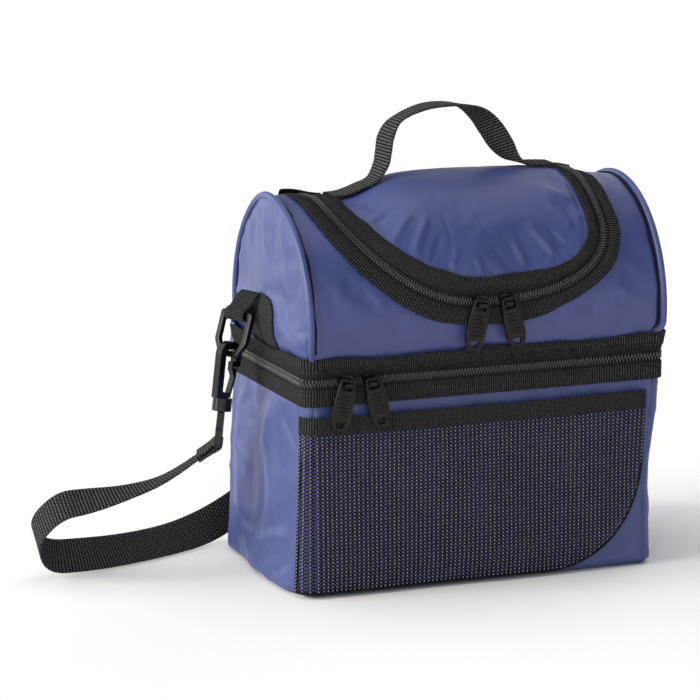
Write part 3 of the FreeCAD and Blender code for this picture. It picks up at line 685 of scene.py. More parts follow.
# ------------------------------------------------------------ shoulder strap
# The webbing's route, as in the frame, and the direction of its width there.
STRAP_W = 25.0
STRAP_T = 1.5
STRAP_ROUTE = [
    (-164.5, 6, 95), (-168, 8, 90), (-177, 11.5, 85.5), (-190, 12, 77.5), (-207, 13, 69),
    (-232, 16.5, 62.5), (-256, 19.5, 59), (-277, 21, 57), (-292, 35, 35),
    (-277, 49, 13.5), (-250, 50.5, 12.4), (-216, 61, 10.5), (-176, 77, 10),
    (-146, 92, 12), (-122, 100, 20), (-98, 102.5, 35), (-66, 101, 47),
    (-28, 97, 45), (12, 97.5, 33), (52, 101, 23), (92, 101.5, 24),
    (128, 92, 32), (154, 74, 44), (167, 50, 58), (170, 28, 72),
    (164, 11, 84.5), (156.5, 10.3, 89), (151.8, 10.3, 94),
]
STRAP_LEAN = [
    (0.37, 0.93, -0.05), (0.37, 0.93, -0.05), (0.37, 0.93, -0.05), (0.37, 0.93, -0.02),
    (0.36, 0.92, 0.02), (0.3, 0.92, 0.2), (0.2, 0.84, 0.5), (0.1, 0.78, 0.6), (0, 0.84, 0.55),
    (0, 0.5, 0.85), (-0.1, 0.52, 0.82), (-0.2, 0.65, 0.7), (-0.25, 0.7, 0.66),
    (-0.25, 0.5, 0.8), (-0.3, 0.1, 0.95), (-0.3, 0, 0.95), (-0.1, 0, 1),
    (0, 0, 1), (0.1, 0, 1), (0, 0, 1), (-0.1, 0, 1),
    (-0.1, 0.1, 1), (-0.1, 0.3, 0.9), (0.1, 0.5, 0.7), (0.3, 0.8, 0.4),
    (0.25, 0.95, 0.1), (0.34, 0.94, 0), (0.34, 0.94, 0),
]


def along_rows(rows, at, run):
    """Rows read at lengths along a line that has as many points as there are rows."""
    return np.stack([np.interp(at, run, rows[:, k]) for k in range(rows.shape[1])], -1)


def spline_points(controls):
    """Points read from the route's own smooth curve."""
    data = bpy.data.curves.new("route", "CURVE")
    data.dimensions = "3D"
    data.resolution_u = 24
    spline = data.splines.new("NURBS")
    spline.points.add(len(controls) - 1)
    for point, place in zip(spline.points, controls):
        point.co = (*[c * MM for c in place], 1)
    spline.order_u = 3
    spline.use_endpoint_u = True
    holder = bpy.data.objects.new("route", data)
    scene.collection.objects.link(holder)
    bpy.context.view_layer.update()
    mesh = bpy.data.meshes.new_from_object(holder)
    points = np.array([v.co for v in mesh.vertices], float) / MM
    bpy.data.objects.remove(holder)
    bpy.data.meshes.remove(mesh)
    return points


def ribbon(name, path, lean, width, thickness, tape, rib=0.12, pitch=2.4):
    """Flat webbing along a line; lean is the direction of its width there."""
    run = lengths(path)
    ribs = int(round(run[-1] / pitch))
    at = np.linspace(0, run[-1], 4 * ribs + 1)
    lean = along_rows(lean, at, run)
    path = along(path, at)
    turns = np.linspace(0, ribs, 4 * ribs + 1)
    tangent = unit(np.gradient(path, axis=0))
    flat = unit(lean - tangent * np.sum(lean * tangent, 1, keepdims=True))
    face = np.cross(tangent, flat)
    section = tape_section(-width / 2, width / 2, thickness, 7)
    rise = rib * np.cos(2 * math.pi * turns)
    height = section[:, 1] / thickness
    side = np.where(height > 0.6, 1, np.where(height < 0.4, -1, 0))
    height = section[None, :, 1] - thickness / 2 + rise[:, None] * side[None, :]
    rings = path[:, None] + section[None, :, :1] * flat[:, None] + height[..., None] * face[:, None]
    return sweep(name, rings, tape, run=turns + 0.5)


# The strap lies still behind the bag.
# Each end: its bar in the hook base, the bar's direction, and the way the strap leaves it.
STRAP_ENDS = {"left": ((-164.3, 5.5, 95.7), (0.373, 0.928, 0), (-0.76, 0.30, -0.57)),
              "right": ((151.3, 10.3, 93.6), (0.342, 0.940, 0), (0.70, -0.25, -0.66))}


def strap_fold(side):
    """The strap's end, folded round the hook base's bar and sewn to itself."""
    bar, lean, away = (np.array(v, float) for v in STRAP_ENDS[side])
    face = unit(np.cross(away, lean))
    above = [(17, 1.7), (12, 1.7), (6, 1.9), (2, 2.4), (-1.6, 2.0)]
    below = [(a, -b) for a, b in above[::-1]]
    round_bar = above + [(-2.6, 0)] + below
    line = catmull([bar + a * away + b * face for a, b in round_bar], 90)
    leans = np.broadcast_to(lean, line.shape)
    fold = ribbon(f"strap_{side}_fold", line, leans, STRAP_W, STRAP_T, STRAP_TAPE)
    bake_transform(fold)
    return fold


def shoulder_strap():
    """The free webbing, on the route's own spline. Its lean has a spline with as many points."""
    path = spline_points(STRAP_ROUTE)
    lean = spline_points(STRAP_LEAN)
    run = lengths(path)
    at = np.arange(0, run[-1], 0.6)
    line = along(path, at)
    lean_there = along_rows(lean, at, run)
    strap = ribbon("shoulder_strap_webbing", line, lean_there, STRAP_W, STRAP_T, STRAP_TAPE)
    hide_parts("shoulder_strap")
    on_strap = [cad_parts["strap_adjuster"], strap_fold("left"), strap_fold("right")]
    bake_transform(strap)


shoulder_strap()


# ------------------------------------------------------------ fabric panels
def inside(points, loops):
    """Even-odd test of points against closed outlines."""
    hit = np.zeros(len(points), bool)
    for loop in loops:
        a = loop
        b = np.roll(loop, -1, 0)
        for (ax, ay), (bx, by) in zip(a, b):
            if ay == by:
                continue
            crosses = (ay > points[:, 1]) != (by > points[:, 1])
            reach = (bx - ax) * (points[:, 1] - ay) / (by - ay) + ax
            hit ^= crosses & (points[:, 0] < reach)
    return hit


CLEAR_OF_RIM = 0.62             # no inner point nearer to the rim, as a share of the pitch
BLOCK = 64                      # rim points compared at a time


def fill(loops, pitch):
    """Even triangles that fill flat outlines: points, faces, and which are on the rim."""
    rim, edges, rounds = [], [], []
    for loop in loops:
        ring = np.vstack([loop, loop[:1]])
        total = lengths(ring)[-1]
        count = int(round(total / pitch))
        ring = along(ring, np.linspace(0, total, count, endpoint=False))
        rounds.append(ring)
        first = len(rim)
        rim += ring.tolist()
        edges += [(first + k, first + (k + 1) % count) for k in range(count)]
    rim = np.array(rim)
    low, high = rim.min(0), rim.max(0)
    rows = np.arange(low[1] + pitch / 2, high[1], pitch * math.sqrt(3) / 2)
    inner = []
    for k, row in enumerate(rows):
        x = np.arange(low[0] + pitch * (0.5 if k % 2 else 1.0), high[0], pitch)
        inner.append(np.stack([x, np.full(len(x), row)], 1))
    inner = np.vstack(inner)
    inner = inner[inside(inner, rounds)]
    near = np.full(len(inner), 1e9)
    for start in range(0, len(rim), BLOCK):
        gap = np.linalg.norm(inner[:, None] - rim[None, start:start + BLOCK], axis=2).min(1)
        near = np.minimum(near, gap)
    inner = inner[near > CLEAR_OF_RIM * pitch]
    flat = np.vstack([rim, inner])
    result = geometry.delaunay_2d_cdt([Vector(p) for p in flat], edges, [], 0, 1e-7)
    points = np.array([tuple(p) for p in result[0]])
    faces = np.array([f for f in result[2] if len(f) == 3])
    keep = inside(points[faces].mean(1), rounds)
    on_rim = np.array([any(o < len(rim) for o in source) for source in result[3]])
    return points, faces[keep], on_rim


def gathers(flat, rim, seed, spacing, height, reach):
    """Small folds that start at a sewn edge and die away from it."""
    dice = np.random.default_rng(seed)
    rim = np.vstack([rim, rim[:1]])
    total = lengths(rim)[-1]
    line = along(rim, np.linspace(0, total, int(total / 2.0)))
    run = lengths(line)
    at, gap = np.zeros(len(flat)), np.zeros(len(flat))
    for k, place in enumerate(flat):
        away = np.linalg.norm(place - line, axis=1)
        at[k] = run[away.argmin()]
        gap[k] = away.min()
    lift = np.zeros(len(flat))
    centre = 0.0
    while centre < total:
        centre += spacing * dice.uniform(0.4, 1.6)
        rise = height * dice.uniform(0.25, 1.0) * dice.choice([-0.6, 1.0])
        width = dice.uniform(2.0, 4.5)
        length = reach * dice.uniform(0.4, 1.4)
        slant = dice.uniform(-0.5, 0.5)
        off = at - centre - slant * gap
        widened = width * (1 + gap / reach)
        lift += rise * np.exp(-(off / widened) ** 2) * np.exp(-gap / length)
    return lift * (1 - np.exp(-gap / 2.0))


PANELS = []


def panel(name, loops, surface, pitch, body, nodes, pressure, slack, cap, seed, wrinkle, flip=False,
          fold=None, extra=None):
    """A sewn fabric panel: flat outlines laid on a surface, held at its seams.

    The drape blows it out by pressure, with slack as a share of its size, and moves no
    point further than cap. fold is the spacing, height and reach of its gathers.
    """
    flat, faces, on_rim = fill([np.asarray(loop, float) for loop in loops], pitch)
    if flip:
        faces = faces[:, ::-1]
    base = surface(flat[:, 0], flat[:, 1], np.zeros(len(flat)))
    held = on_rim.astype(float)
    lift = wrinkle * (ripple(base, 45.0, seed) + 0.35 * ripple(base, 18.0, seed + 1)) * (1 - held)
    folds = np.zeros(len(flat))
    for loop in loops if fold else []:
        folds += gathers(flat, np.asarray(loop, float), seed, *fold)
    if extra:
        folds += extra(flat[:, 0], flat[:, 1])
    points = surface(flat[:, 0], flat[:, 1], lift)
    obj = mesh_object(name, points, faces.tolist(), NAVY)
    group = obj.vertex_groups.new(name="held")
    for weight in np.unique(held):
        group.add(np.nonzero(held == weight)[0].tolist(), float(weight), "REPLACE")
    PANELS.append({"obj": obj, "base": points, "pressure": pressure, "slack": slack, "cap": cap,
                   "folds": folds, "body": body})
    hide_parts(*nodes)


DRAPE_FRAMES = 14


def cloth_on(item):
    """Blender's cloth on one panel, held at its seams, with no gravity."""
    cloth = item["obj"].modifiers.new("drape", "CLOTH")
    settings = cloth.settings
    settings.quality = 5
    settings.mass = 0.12
    settings.air_damping = 2.0
    settings.tension_stiffness = 30
    settings.compression_stiffness = 30
    settings.shear_stiffness = 12
    settings.bending_stiffness = 3.0
    settings.vertex_group_mass = "held"
    settings.pin_stiffness = 1.0
    settings.use_pressure = True
    settings.uniform_pressure_force = item["pressure"]
    settings.shrink_min = -item["slack"]
    settings.effector_weights.gravity = 0
    cloth.collision_settings.use_collision = False
    cloth.collision_settings.use_self_collision = False
    cloth.point_cache.frame_start = 1
    cloth.point_cache.frame_end = DRAPE_FRAMES


def drape_panels():
    """Lets the slack fabric find its folds, all panels in one run."""
    for item in PANELS:
        cloth_on(item)
    for step in range(1, DRAPE_FRAMES + 1):
        scene.frame_set(step)
    graph = bpy.context.evaluated_depsgraph_get()
    for item in PANELS:
        obj = item["obj"]
        move = mesh_points(obj.evaluated_get(graph).to_mesh()) - item["base"]
        obj.evaluated_get(graph).to_mesh_clear()
        size = np.linalg.norm(move, axis=1, keepdims=True)
        move *= np.minimum(1, item["cap"] / np.maximum(size, 1e-9))
        item["result"] = item["base"] + move
        print("draped", obj.name, "moved up to", round(float(size.max()), 1), "mm")
    for item in PANELS:
        obj = item["obj"]
        obj.modifiers.clear()
        obj.data.vertices.foreach_set("co", (item["result"] * MM).ravel())
        obj.data.update()
    scene.frame_set(1)


def pucker_panels():
    """Adds the sharp folds at the seams, which the drape would have pulled out."""
    for item in PANELS:
        mesh = item["obj"].data
        out = np.zeros(len(mesh.vertices) * 3)
        mesh.vertices.foreach_get("normal", out)
        points = mesh_points(mesh) + out.reshape(-1, 3) * item["folds"][:, None]
        mesh.vertices.foreach_set("co", (points * MM).ravel())
        mesh.update()


def cloth_level(name, places, flat, out, reach):
    """How far a panel stands along one axis, near places on the other two."""
    points = mesh_points(bpy.data.objects[name].data)
    levels = []
    for place in places:
        gap = np.hypot(points[:, flat[0]] - place[0], points[:, flat[1]] - place[1])
        weight = np.exp(-((gap - gap.min()) / reach) ** 2)
        levels.append(float((weight * points[:, out]).sum() / weight.sum()))
    return np.array(levels)


def thicken(obj, thickness=FABRIC):
    """Gives a sheet its thickness, inwards."""
    solid = obj.modifiers.new("cloth_thickness", "SOLIDIFY")
    solid.thickness = thickness * MM
    solid.offset = -1.0


def rect(x0, x1, y0, y1):
    """A rectangle's corners, anticlockwise."""
    return [(x0, y0), (x1, y0), (x1, y1), (x0, y1)]


FRONT_L = FRONT_START - 2.0
FRONT_R = FRONT_START + FRONT_LEN + 2.0
BACK_L = BACK_START - ARC_LEN / 2
BACK_R = BACK_START + FRONT_LEN + ARC_LEN / 2
PANEL_TOP = BAND_LOW + 3.0
BOTTOM_Z = 0.9


def crease(x, y, start, end, height, width):
    """A soft ridge from one flat point to another, fading at both ends."""
    start, end = np.array(start, float), np.array(end, float)
    run = end - start
    size = np.hypot(*run)
    t = ((x - start[0]) * run[0] + (y - start[1]) * run[1]) / size ** 2
    off = ((x - start[0]) * run[1] - (y - start[1]) * run[0]) / size
    fade = smooth(t / 0.25) * smooth((1 - t) / 0.35)
    return height * fade * np.exp(-(off / width) ** 2)


def creases(x, y, folds):
    """Several creases: each one's start, end, height and width."""
    return sum(crease(x, y, start, end, height, width) for start, end, height, width in folds)


# Folds of the left wall: long ones down it, short ones by the front corner.
LEFT_FOLDS = [((22, 134), (34, 18), 3.2, 8), ((44, 132), (58, 36), -2.6, 7),
              ((72, 130), (88, 60), 1.8, 6), ((84, 100), (70, 30), -1.3, 5),
              ((60, 20), (128, 44), 1.8, 6), ((96, 8), (132, 26), -1.6, 4),
              ((100, 124), (134, 98), -1.4, 4), ((14, 96), (50, 70), 1.4, 4)]
# Folds of the right wall, measured from its front corner.
RIGHT_FOLDS = [((6, 40), (30, 2), 2.0, 6), ((40, 132), (56, 20), 1.7, 8)]


def left_creases(u, z):
    return creases(u, z, LEFT_FOLDS)


def right_creases(u, z):
    return creases(u - RIGHT_START, z, RIGHT_FOLDS)


def lower_panels():
    """The four walls of the lower compartment, sewn at its corners."""
    wide = rect(FRONT_L, FRONT_R, 0.0, PANEL_TOP)
    panel("lower_front_fabric", [wide], wall, 3.4, LOWER, ["lower_front_panel"], pressure=0.15,
          slack=0.002, cap=1.5, seed=3, wrinkle=0.15, fold=(30.0, 0.4, 10.0))
    right = rect(FRONT_R, BACK_L, 0.0, PANEL_TOP)
    panel("lower_right_fabric", [right], wall, 2.8, LOWER, ["lower_right_panel"], pressure=0.5,
          slack=0.006, cap=4.0, seed=5, wrinkle=0.9, fold=(22.0, 1.2, 12.0), extra=right_creases)
    back = rect(BACK_L, BACK_R, 0.0, PANEL_TOP)
    panel("lower_back_fabric", [back], wall, 3.2, LOWER, ["lower_back_panel"], pressure=0.5,
          slack=0.006, cap=5.0, seed=7, wrinkle=1.2, fold=(26.0, 1.2, 14.0))
    left = rect(BACK_R - ALL_ROUND, FRONT_L, 0.0, PANEL_TOP)
    panel("lower_left_fabric", [left], wall, 2.4, LOWER, ["lower_left_panel"], pressure=0.5,
          slack=0.006, cap=4.0, seed=9, wrinkle=0.9, fold=(22.0, 1.2, 12.0), extra=left_creases)


def bottom_surface(x, y, lift):
    """The underside, its folds pointing down."""
    return np.stack([x, y, BOTTOM_Z - lift], -1)


def bottom_panel():
    """The lower compartment's underside, inside the walls' foot."""
    u = np.linspace(0, ALL_ROUND, 400, endpoint=False)
    rim = wall(u, np.zeros(len(u)))[:, :2]
    panel("lower_bottom_fabric", [rim], bottom_surface, 6.0, LOWER, ["lower_bottom_panel"],
          pressure=0.0, slack=0.0, cap=0.5, seed=11, wrinkle=0.3, flip=True)


END_INSET_D, END_INSET_H = 1.5, 3.5
# How far each end puffs out: the left one less and less towards its top.
LEFT_PUFF, LEFT_FLAT_TOP, RIGHT_PUFF, PUFF_REACH = 10.5, 8.0, 3.0, 13.0


def end_loop():
    """The right end panel's arched outline: depth and height."""
    height = ROOF_TOP - ROOF_LOW
    inner = ROOF.copy()
    inner[:, 0] *= (HALF_D + END_INSET_D) / (HALF_D + ARCH_OUT)
    inner[:, 1] = ROOF_LOW + (inner[:, 1] - ROOF_LOW) * (height - END_INSET_H) / height
    return inner


def end_surface(side):
    """A pillow: steep beside the piping, nearly flat across the middle."""
    rim = end_loop()

    def surface(y, z, lift):
        gap = np.hypot(y[:, None] - rim[None, :, 0], z[:, None] - rim[None, :, 1]).min(1)
        gap = np.minimum(gap, np.maximum(z - ROOF_LOW - 4, 0) + 2)
        if side < 0:
            full = LEFT_PUFF - LEFT_FLAT_TOP * smooth((z - 172) / 34)
            middle = END_X + 1.0 - drawn_in(y)
        else:
            full = RIGHT_PUFF
            middle = END_X + 1.0 + 0.97 * END_LEAN
        puff = full * (1 - np.exp(-gap / PUFF_REACH))
        return np.stack([side * (middle + puff + lift), y, z], -1)
    return surface


# Long folds that fall from the crown of the arch, and folds that rise from the tab.
END_FOLDS = [((-26, 264), (-44, 212), 1.1, 4), ((-12, 266), (-20, 226), -0.8, 3),
             ((6, 268), (-4, 222), 0.9, 4), ((-28, 200), (-70, 166), 1.6, 4),
             ((-24, 210), (-64, 178), -1.0, 4), ((-34, 192), (-60, 166), 1.2, 2.6),
             ((-18, 222), (-62, 202), 0.7, 4), ((34, 260), (44, 206), 0.9, 5)]


def end_creases(y, z):
    return creases(y, z, END_FOLDS)


def end_panels():
    """The two arched ends of the upper compartment."""
    for side, name in ((-1, "left"), (1, "right")):
        panel(f"upper_{name}_end_fabric", [end_loop()], end_surface(side), 2.8, UPPER,
              [f"upper_{name}_end_panel"], pressure=0.5, slack=0.006, cap=4.0, seed=13 + side,
              wrinkle=0.9, flip=side < 0, fold=(17.0, 1.3, 16.0), extra=end_creases)


def lid_loop(across, back):
    """The lid's outline at a distance inside (negative) or outside the zip."""
    u = np.linspace(0, ZIP_TOTAL, 300)
    x, s = beside_zip(u, across + 0 * u)
    line = np.stack([x, s], 1)
    line = line[line[:, 1] < back - 0.5]
    return np.vstack([[[line[0, 0], back]], line, [[line[-1, 0], back]]])


def lid_surface(x, s, lift):
    """The lid stands a little higher than the roof round it."""
    return roof(x, s, LID_STAND + lift)


# Soft diagonal folds across the front, below the lid.
FRONT_FOLDS = [((-118, 66), (-60, 6), 0.9, 6), ((-100, 44), (-66, 16), -0.7, 4),
               ((-60, 22), (-24, 10), 0.6, 4), ((-90, 62), (-70, 34), 0.6, 3),
               ((16, 22), (40, 6), 0.5, 4), ((88, 12), (118, 52), 0.9, 6)]
# The lid's sharp folds, which start at its seam.
LID_FOLDS = [((76, 84), (58, 106), 1.5, 2.6), ((66, 70), (52, 88), -1.0, 2.2),
             ((58, 66), (38, 92), 1.4, 2.8), ((34, 60), (26, 82), 1.2, 2.2),
             ((22, 58), (10, 76), -0.9, 2.0), ((0, 56), (-4, 72), 1.0, 2.0),
             ((-22, 60), (-16, 80), 1.3, 2.4), ((-38, 66), (-24, 88), -0.9, 2.2),
             ((-50, 72), (-30, 104), 1.5, 2.8), ((-62, 84), (-40, 108), 1.1, 2.4),
             ((-72, 100), (-44, 116), -1.0, 2.4), ((-76, 112), (-50, 134), 1.3, 2.8),
             ((80, 104), (58, 122), 1.2, 2.6)]
# Its long soft folds, measured from the far edge of its front binding.
LID_WAVES = [((-62, 34), (-20, 66), 0.8, 9), ((-20, 4), (34, 40), 0.7, 8), ((64, 6), (20, 34), -0.6, 7),
             ((84, 50), (40, 70), 0.7, 8), ((-74, 70), (10, 96), 0.6, 12)]


def front_creases(x, s):
    return creases(x, s, FRONT_FOLDS)


def lid_creases(x, s):
    return creases(x, s, LID_FOLDS) + creases(x, s - ZIP_RUN - BINDING_FAR, LID_WAVES)


def upper_panels():
    """The arch with the lid's opening in it, and the lid."""
    outer = rect(-END_X, END_X, 0.0, ROOF_LENGTH)
    hole = lid_loop(BINDING_FAR - 2.5, HINGE_RUN + 4)
    panel("upper_barrel_fabric", [outer, hole], roof, 2.8, UPPER, ["upper_barrel_panel"], pressure=0.3,
          slack=0.003, cap=3.0, seed=17, wrinkle=0.7, fold=(26.0, 0.8, 14.0), extra=front_creases)
    lid = lid_loop(-(BINDING_FAR - 2.5), HINGE_RUN + 8)
    panel("lid_fabric", [lid], lid_surface, 1.9, LID, ["lid_panel"], pressure=0.6, slack=0.003,
          cap=3.0, seed=19, wrinkle=0.35, fold=(11.0, 1.1, 9.0), extra=lid_creases)


lower_panels()
bottom_panel()
end_panels()
upper_panels()
drape_panels()
pucker_panels()
for item in PANELS:
    thicken(item["obj"])
    if item["body"] == LID:
        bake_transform(item["obj"])
    else:
        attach(item["obj"], item["body"])


# ------------------------------------------------------------ bands, bindings and zips
def band(name, place, length, low, high, body, nodes=(), rib=0.22, pitch=1.6, thickness=1.2, start=0.0):
    """Ribbed webbing sewn along a zip: low and high are its edges across it."""
    section = tape_section(low, high, thickness)
    tape = ribbed_tape(name, place, length, section, BLACK_TAPE, rib, pitch, start)
    fit(tape, body, nodes)


def zip_tape(name, place, length, low, high, body, nodes, start=0.0):
    """The zip's own fine, flat tape, between the coil and the webbing."""
    section = tape_section(low, high, FABRIC)
    tape = ribbed_tape(name, place, length, section, FINE_TAPE, 0.0, 0.9, start)
    fit(tape, body, nodes)


# A coil's wire and its wraps: their place beside the zip's middle, half width, half
# height and level. The tape starts at TAPE_GAP from the middle.
COIL_PITCH, COIL_WIRE = 2.0, 0.5
COIL_MIDDLE, COIL_HALF_W, COIL_HALF_H = 1.25, 1.6, 0.95
COIL_LEVEL = 1.1
TAPE_GAP = 2.2


def coil(name, place, start, length, middle, side, body, nodes):
    """Half of a coil zip: one nylon wire wound along the tape's edge."""
    turns = int(length / COIL_PITCH)
    angle = np.linspace(0, 2 * math.pi * turns, turns * 9 + 1)
    shift = 0.25 if side > 0 else 0.75
    u = start + (angle / (2 * math.pi) + shift) * COIL_PITCH * (length / COIL_PITCH - 1) / turns
    across = middle + side * (COIL_MIDDLE - COIL_HALF_W * np.cos(angle))
    height = COIL_LEVEL + COIL_HALF_H * np.sin(angle)
    fit(tube(name, place(u, across, height), COIL_WIRE, 6, COIL), body, nodes)


STITCH_LONG, STITCH_WIDE, STITCH_GAP = 2.6, 0.7, 0.9


def stitches(name, place, start, length, rows, body):
    """Rows of lock stitches: small spindles that sit in the cloth."""
    points, faces = [], []
    shape = [(-0.5, 0, 0), (0, 0.5, 0), (0, 0, 0.55), (0, -0.5, 0), (0, 0, -0.2), (0.5, 0, 0)]
    local = np.array(shape) * (STITCH_LONG, STITCH_WIDE, STITCH_WIDE)
    pattern = [(0, 1, 2), (0, 2, 3), (0, 3, 4), (0, 4, 1), (5, 2, 1), (5, 3, 2), (5, 4, 3), (5, 1, 4)]
    for across, height in rows:
        for u in np.arange(start + 1, start + length - STITCH_LONG, STITCH_LONG + STITCH_GAP):
            base = len(points)
            middle = u + STITCH_LONG / 2
            placed = place(middle + local[:, 0], across + local[:, 1], height + local[:, 2])
            points += placed.tolist()
            faces += [tuple(base + k for k in f) for f in pattern]
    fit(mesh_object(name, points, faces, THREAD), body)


def on_upper_side(u, across, height):
    """The band above the zip: its upper edge rises, falls and stands proud."""
    share = np.clip((across - UPPER_BAND_LOW) / (UPPER_BAND_HIGH - UPPER_BAND_LOW), 0, 1)
    wave = 0.9 * np.sin(u / 21.0 + 1.0) + 0.5 * np.sin(u / 8.3)
    proud = 2.0 + 0.8 * np.sin(u / 31.0) + 0.5 * np.sin(u / 6.1)
    return on_side(u, across + share * wave, height + share * proud)


def on_puckered_side(u, across, height):
    """The slack tape above the coil, gathered into small folds."""
    folds = 0.5 + 0.5 * np.sin(u / 2.3 + 1.3 * np.sin(u / 9.0))
    return on_side(u, across, height + (0.4 + 1.7 * folds) * smooth((across - ZIP_Z - 2.5) / 3))


def side_bands():
    """Webbing, tapes, coils and stitches of the zip between the compartments."""
    start, length = SIDE_ZIP_START, SIDE_ZIP_LENGTH
    band("lower_band", on_side, length, BAND_LOW, BAND_MID, LOWER, ["lower_band_webbing"], start=start)
    band("upper_band", on_upper_side, length, UPPER_BAND_LOW + 2, UPPER_BAND_HIGH, UPPER,
         ["upper_band_webbing"], start=start, thickness=1.6)
    zip_tape("lower_tape", on_side, length, BAND_MID - 4, ZIP_Z - TAPE_GAP, LOWER,
             ["lower_zip_tape"], start)
    zip_tape("upper_tape", on_puckered_side, length, ZIP_Z + TAPE_GAP, UPPER_BAND_LOW + 6, UPPER,
             ["upper_zip_tape"], start)
    coil("lower_coil", on_side, start, length, ZIP_Z, -1, LOWER, ["lower_zip_chain"])
    coil("upper_coil", on_side, start, length, ZIP_Z, 1, UPPER, ["upper_zip_chain"])
    rows = [(BAND_LOW + 2.0, 1.3), (BAND_MID - 2.0, 1.3)]
    stitches("lower_band_stitches", on_side, start, length, rows, LOWER)
    rows = [(UPPER_BAND_LOW + 5.0, 1.8), (UPPER_BAND_HIGH - 1.6, 1.8)]
    stitches("upper_band_stitches", on_upper_side, start, length, rows, UPPER)


def lid_bands():
    """Bindings, tapes, coils and stitches of the lid's zip."""
    near, far = BINDING_NEAR, BINDING_FAR
    band("lid_binding_outside", on_lid_zip, ZIP_TOTAL, near, far, UPPER, ["lid_binding_outer"])
    band("lid_binding_inside", on_lid_zip, ZIP_TOTAL, -far, -near, LID, ["lid_binding_inner"],
         pitch=1.3, rib=0.16)
    zip_tape("lid_tape_outside", on_lid_zip, ZIP_TOTAL, TAPE_GAP, near + 2, UPPER,
             ["lid_zip_tape_outer"])
    zip_tape("lid_tape_inside", on_lid_zip, ZIP_TOTAL, -near - 2, -TAPE_GAP, LID,
             ["lid_zip_tape_inner"])
    coil("lid_coil_outside", on_lid_zip, 0, ZIP_TOTAL, 0, 1, UPPER, ["lid_zip_chain_outer"])
    coil("lid_coil_inside", on_lid_zip, 0, ZIP_TOTAL, 0, -1, LID, ["lid_zip_chain_inner"])
    stitches("lid_outer_stitches", on_lid_zip, 0, ZIP_TOTAL, [(near + 1.5, 1.3)], UPPER)
    rows = [(-near - 1.5, 1.3), (-far + 1.8, 1.3)]
    stitches("lid_inner_stitches", on_lid_zip, 0, ZIP_TOTAL, rows, LID)


def zip_end_tabs():
    """A square of tape sewn over each end of the lid's zip, at the hinge."""
    for name, middle, half in (("left", -LEFT_HALF, 15.0), ("right", RIGHT_HALF, 12.5)):
        def on_end(u, across, height, middle=middle):
            drop = 3.2 * smooth((across + 1) / 6)
            return roof(middle + u, HINGE_RUN + 3 + across, height + 3.3 - drop)
        band(f"lid_zip_{name}_end_tab", on_end, 2 * half, -5.5, 5.5, UPPER, start=-half)


side_bands()
lid_bands()
zip_end_tabs()


# ------------------------------------------------------------ piping
PIPING_R = 2.4
PIPING_TUCK = 3.2


def piping():
    """A cord round each end of the arch, its feet tucked in, and the seam beside it."""
    s = np.linspace(3, ROOF_LENGTH - 3, 260)
    tuck = PIPING_TUCK * (1 - smooth((np.minimum(s, ROOF_LENGTH - s) - 3) / 12))
    wave = 0.35 * np.sin(s / 9.0) + 0.2 * np.sin(s / 3.7)
    for side, name in ((-1, "left"), (1, "right")):
        x = side * (END_X + 1.5 - tuck)
        cord = tube(f"upper_{name}_piping", roof(x, s, 1.2 - tuck), PIPING_R, 14, NAVY)
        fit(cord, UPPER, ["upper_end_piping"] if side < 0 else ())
        line = roof(x - side * (3.2 + wave), s, 0.7 - tuck)
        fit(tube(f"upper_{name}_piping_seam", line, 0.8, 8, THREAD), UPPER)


piping()


# ------------------------------------------------------------ carry handle
HANDLE_W, HANDLE_T = 20.0, 1.7
ON_LID = 2.2


def carry_handle():
    """One strap of webbing, sewn to the lid at both ends."""
    # Its middle line and the direction of its width. Where the height is 0 it lies on the lid.
    controls = [
        (-83, 2, 0, 0, 1, 0), (-72, 2, 0, 0, 1, 0), (-60, 2, 0, 0, 1, 0), (-50, 2, 0, 0, 1, 0),
        (-43.5, 2, 285, -0.15, 1, 0), (-41.5, 2, 294, -0.2, 1, 0), (-39.5, 2, 305, -0.2, 1, 0),
        (-32, 2, 316, -0.1, 1, -0.1), (-14, 2, 323.5, 0, 1, 0), (4, 2, 325.3, 0, 1, 0),
        (19, 2, 323.2, -0.15, 1, -0.1), (31, 2, 316.5, -0.35, 0.9, -0.35),
        (40, 2, 306.5, -0.5, 0.75, -0.45), (48, 2, 295, -0.5, 0.75, -0.4),
        (56, 2, 285, -0.25, 0.95, -0.15), (65, 2, 0, 0, 1, 0), (76, 2, 0, 0, 1, 0), (86, 2, 0, 0, 1, 0),
    ]
    controls = np.array(controls, float)
    lying = controls[:, 2] == 0
    controls[lying, 2] = cloth_level("lid_fabric", controls[lying, :2], (0, 1), 2, 4.0) + ON_LID
    line = catmull(controls, 560)
    handle = ribbon("carry_handle_webbing", line[:, :3], line[:, 3:], HANDLE_W, HANDLE_T, HANDLE_TAPE,
                    0.16, 2.3)
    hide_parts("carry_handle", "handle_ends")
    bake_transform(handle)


carry_handle()


# ------------------------------------------------------------ front pocket
POCKET_LEFT, POCKET_RIGHT = -133.0, 121.8
POCKET_STAND, POCKET_BELLY = 1.9, 4.0
MESH_X, MESH_Z = 3.25, 2.5
SHORTEST_YARN = 3                # points
HEM_CENTRE_X, HEM_CENTRE_Z, HEM_HALF_X, HEM_HALF_Z = 52.0, 82.0, 70.0, 78.0


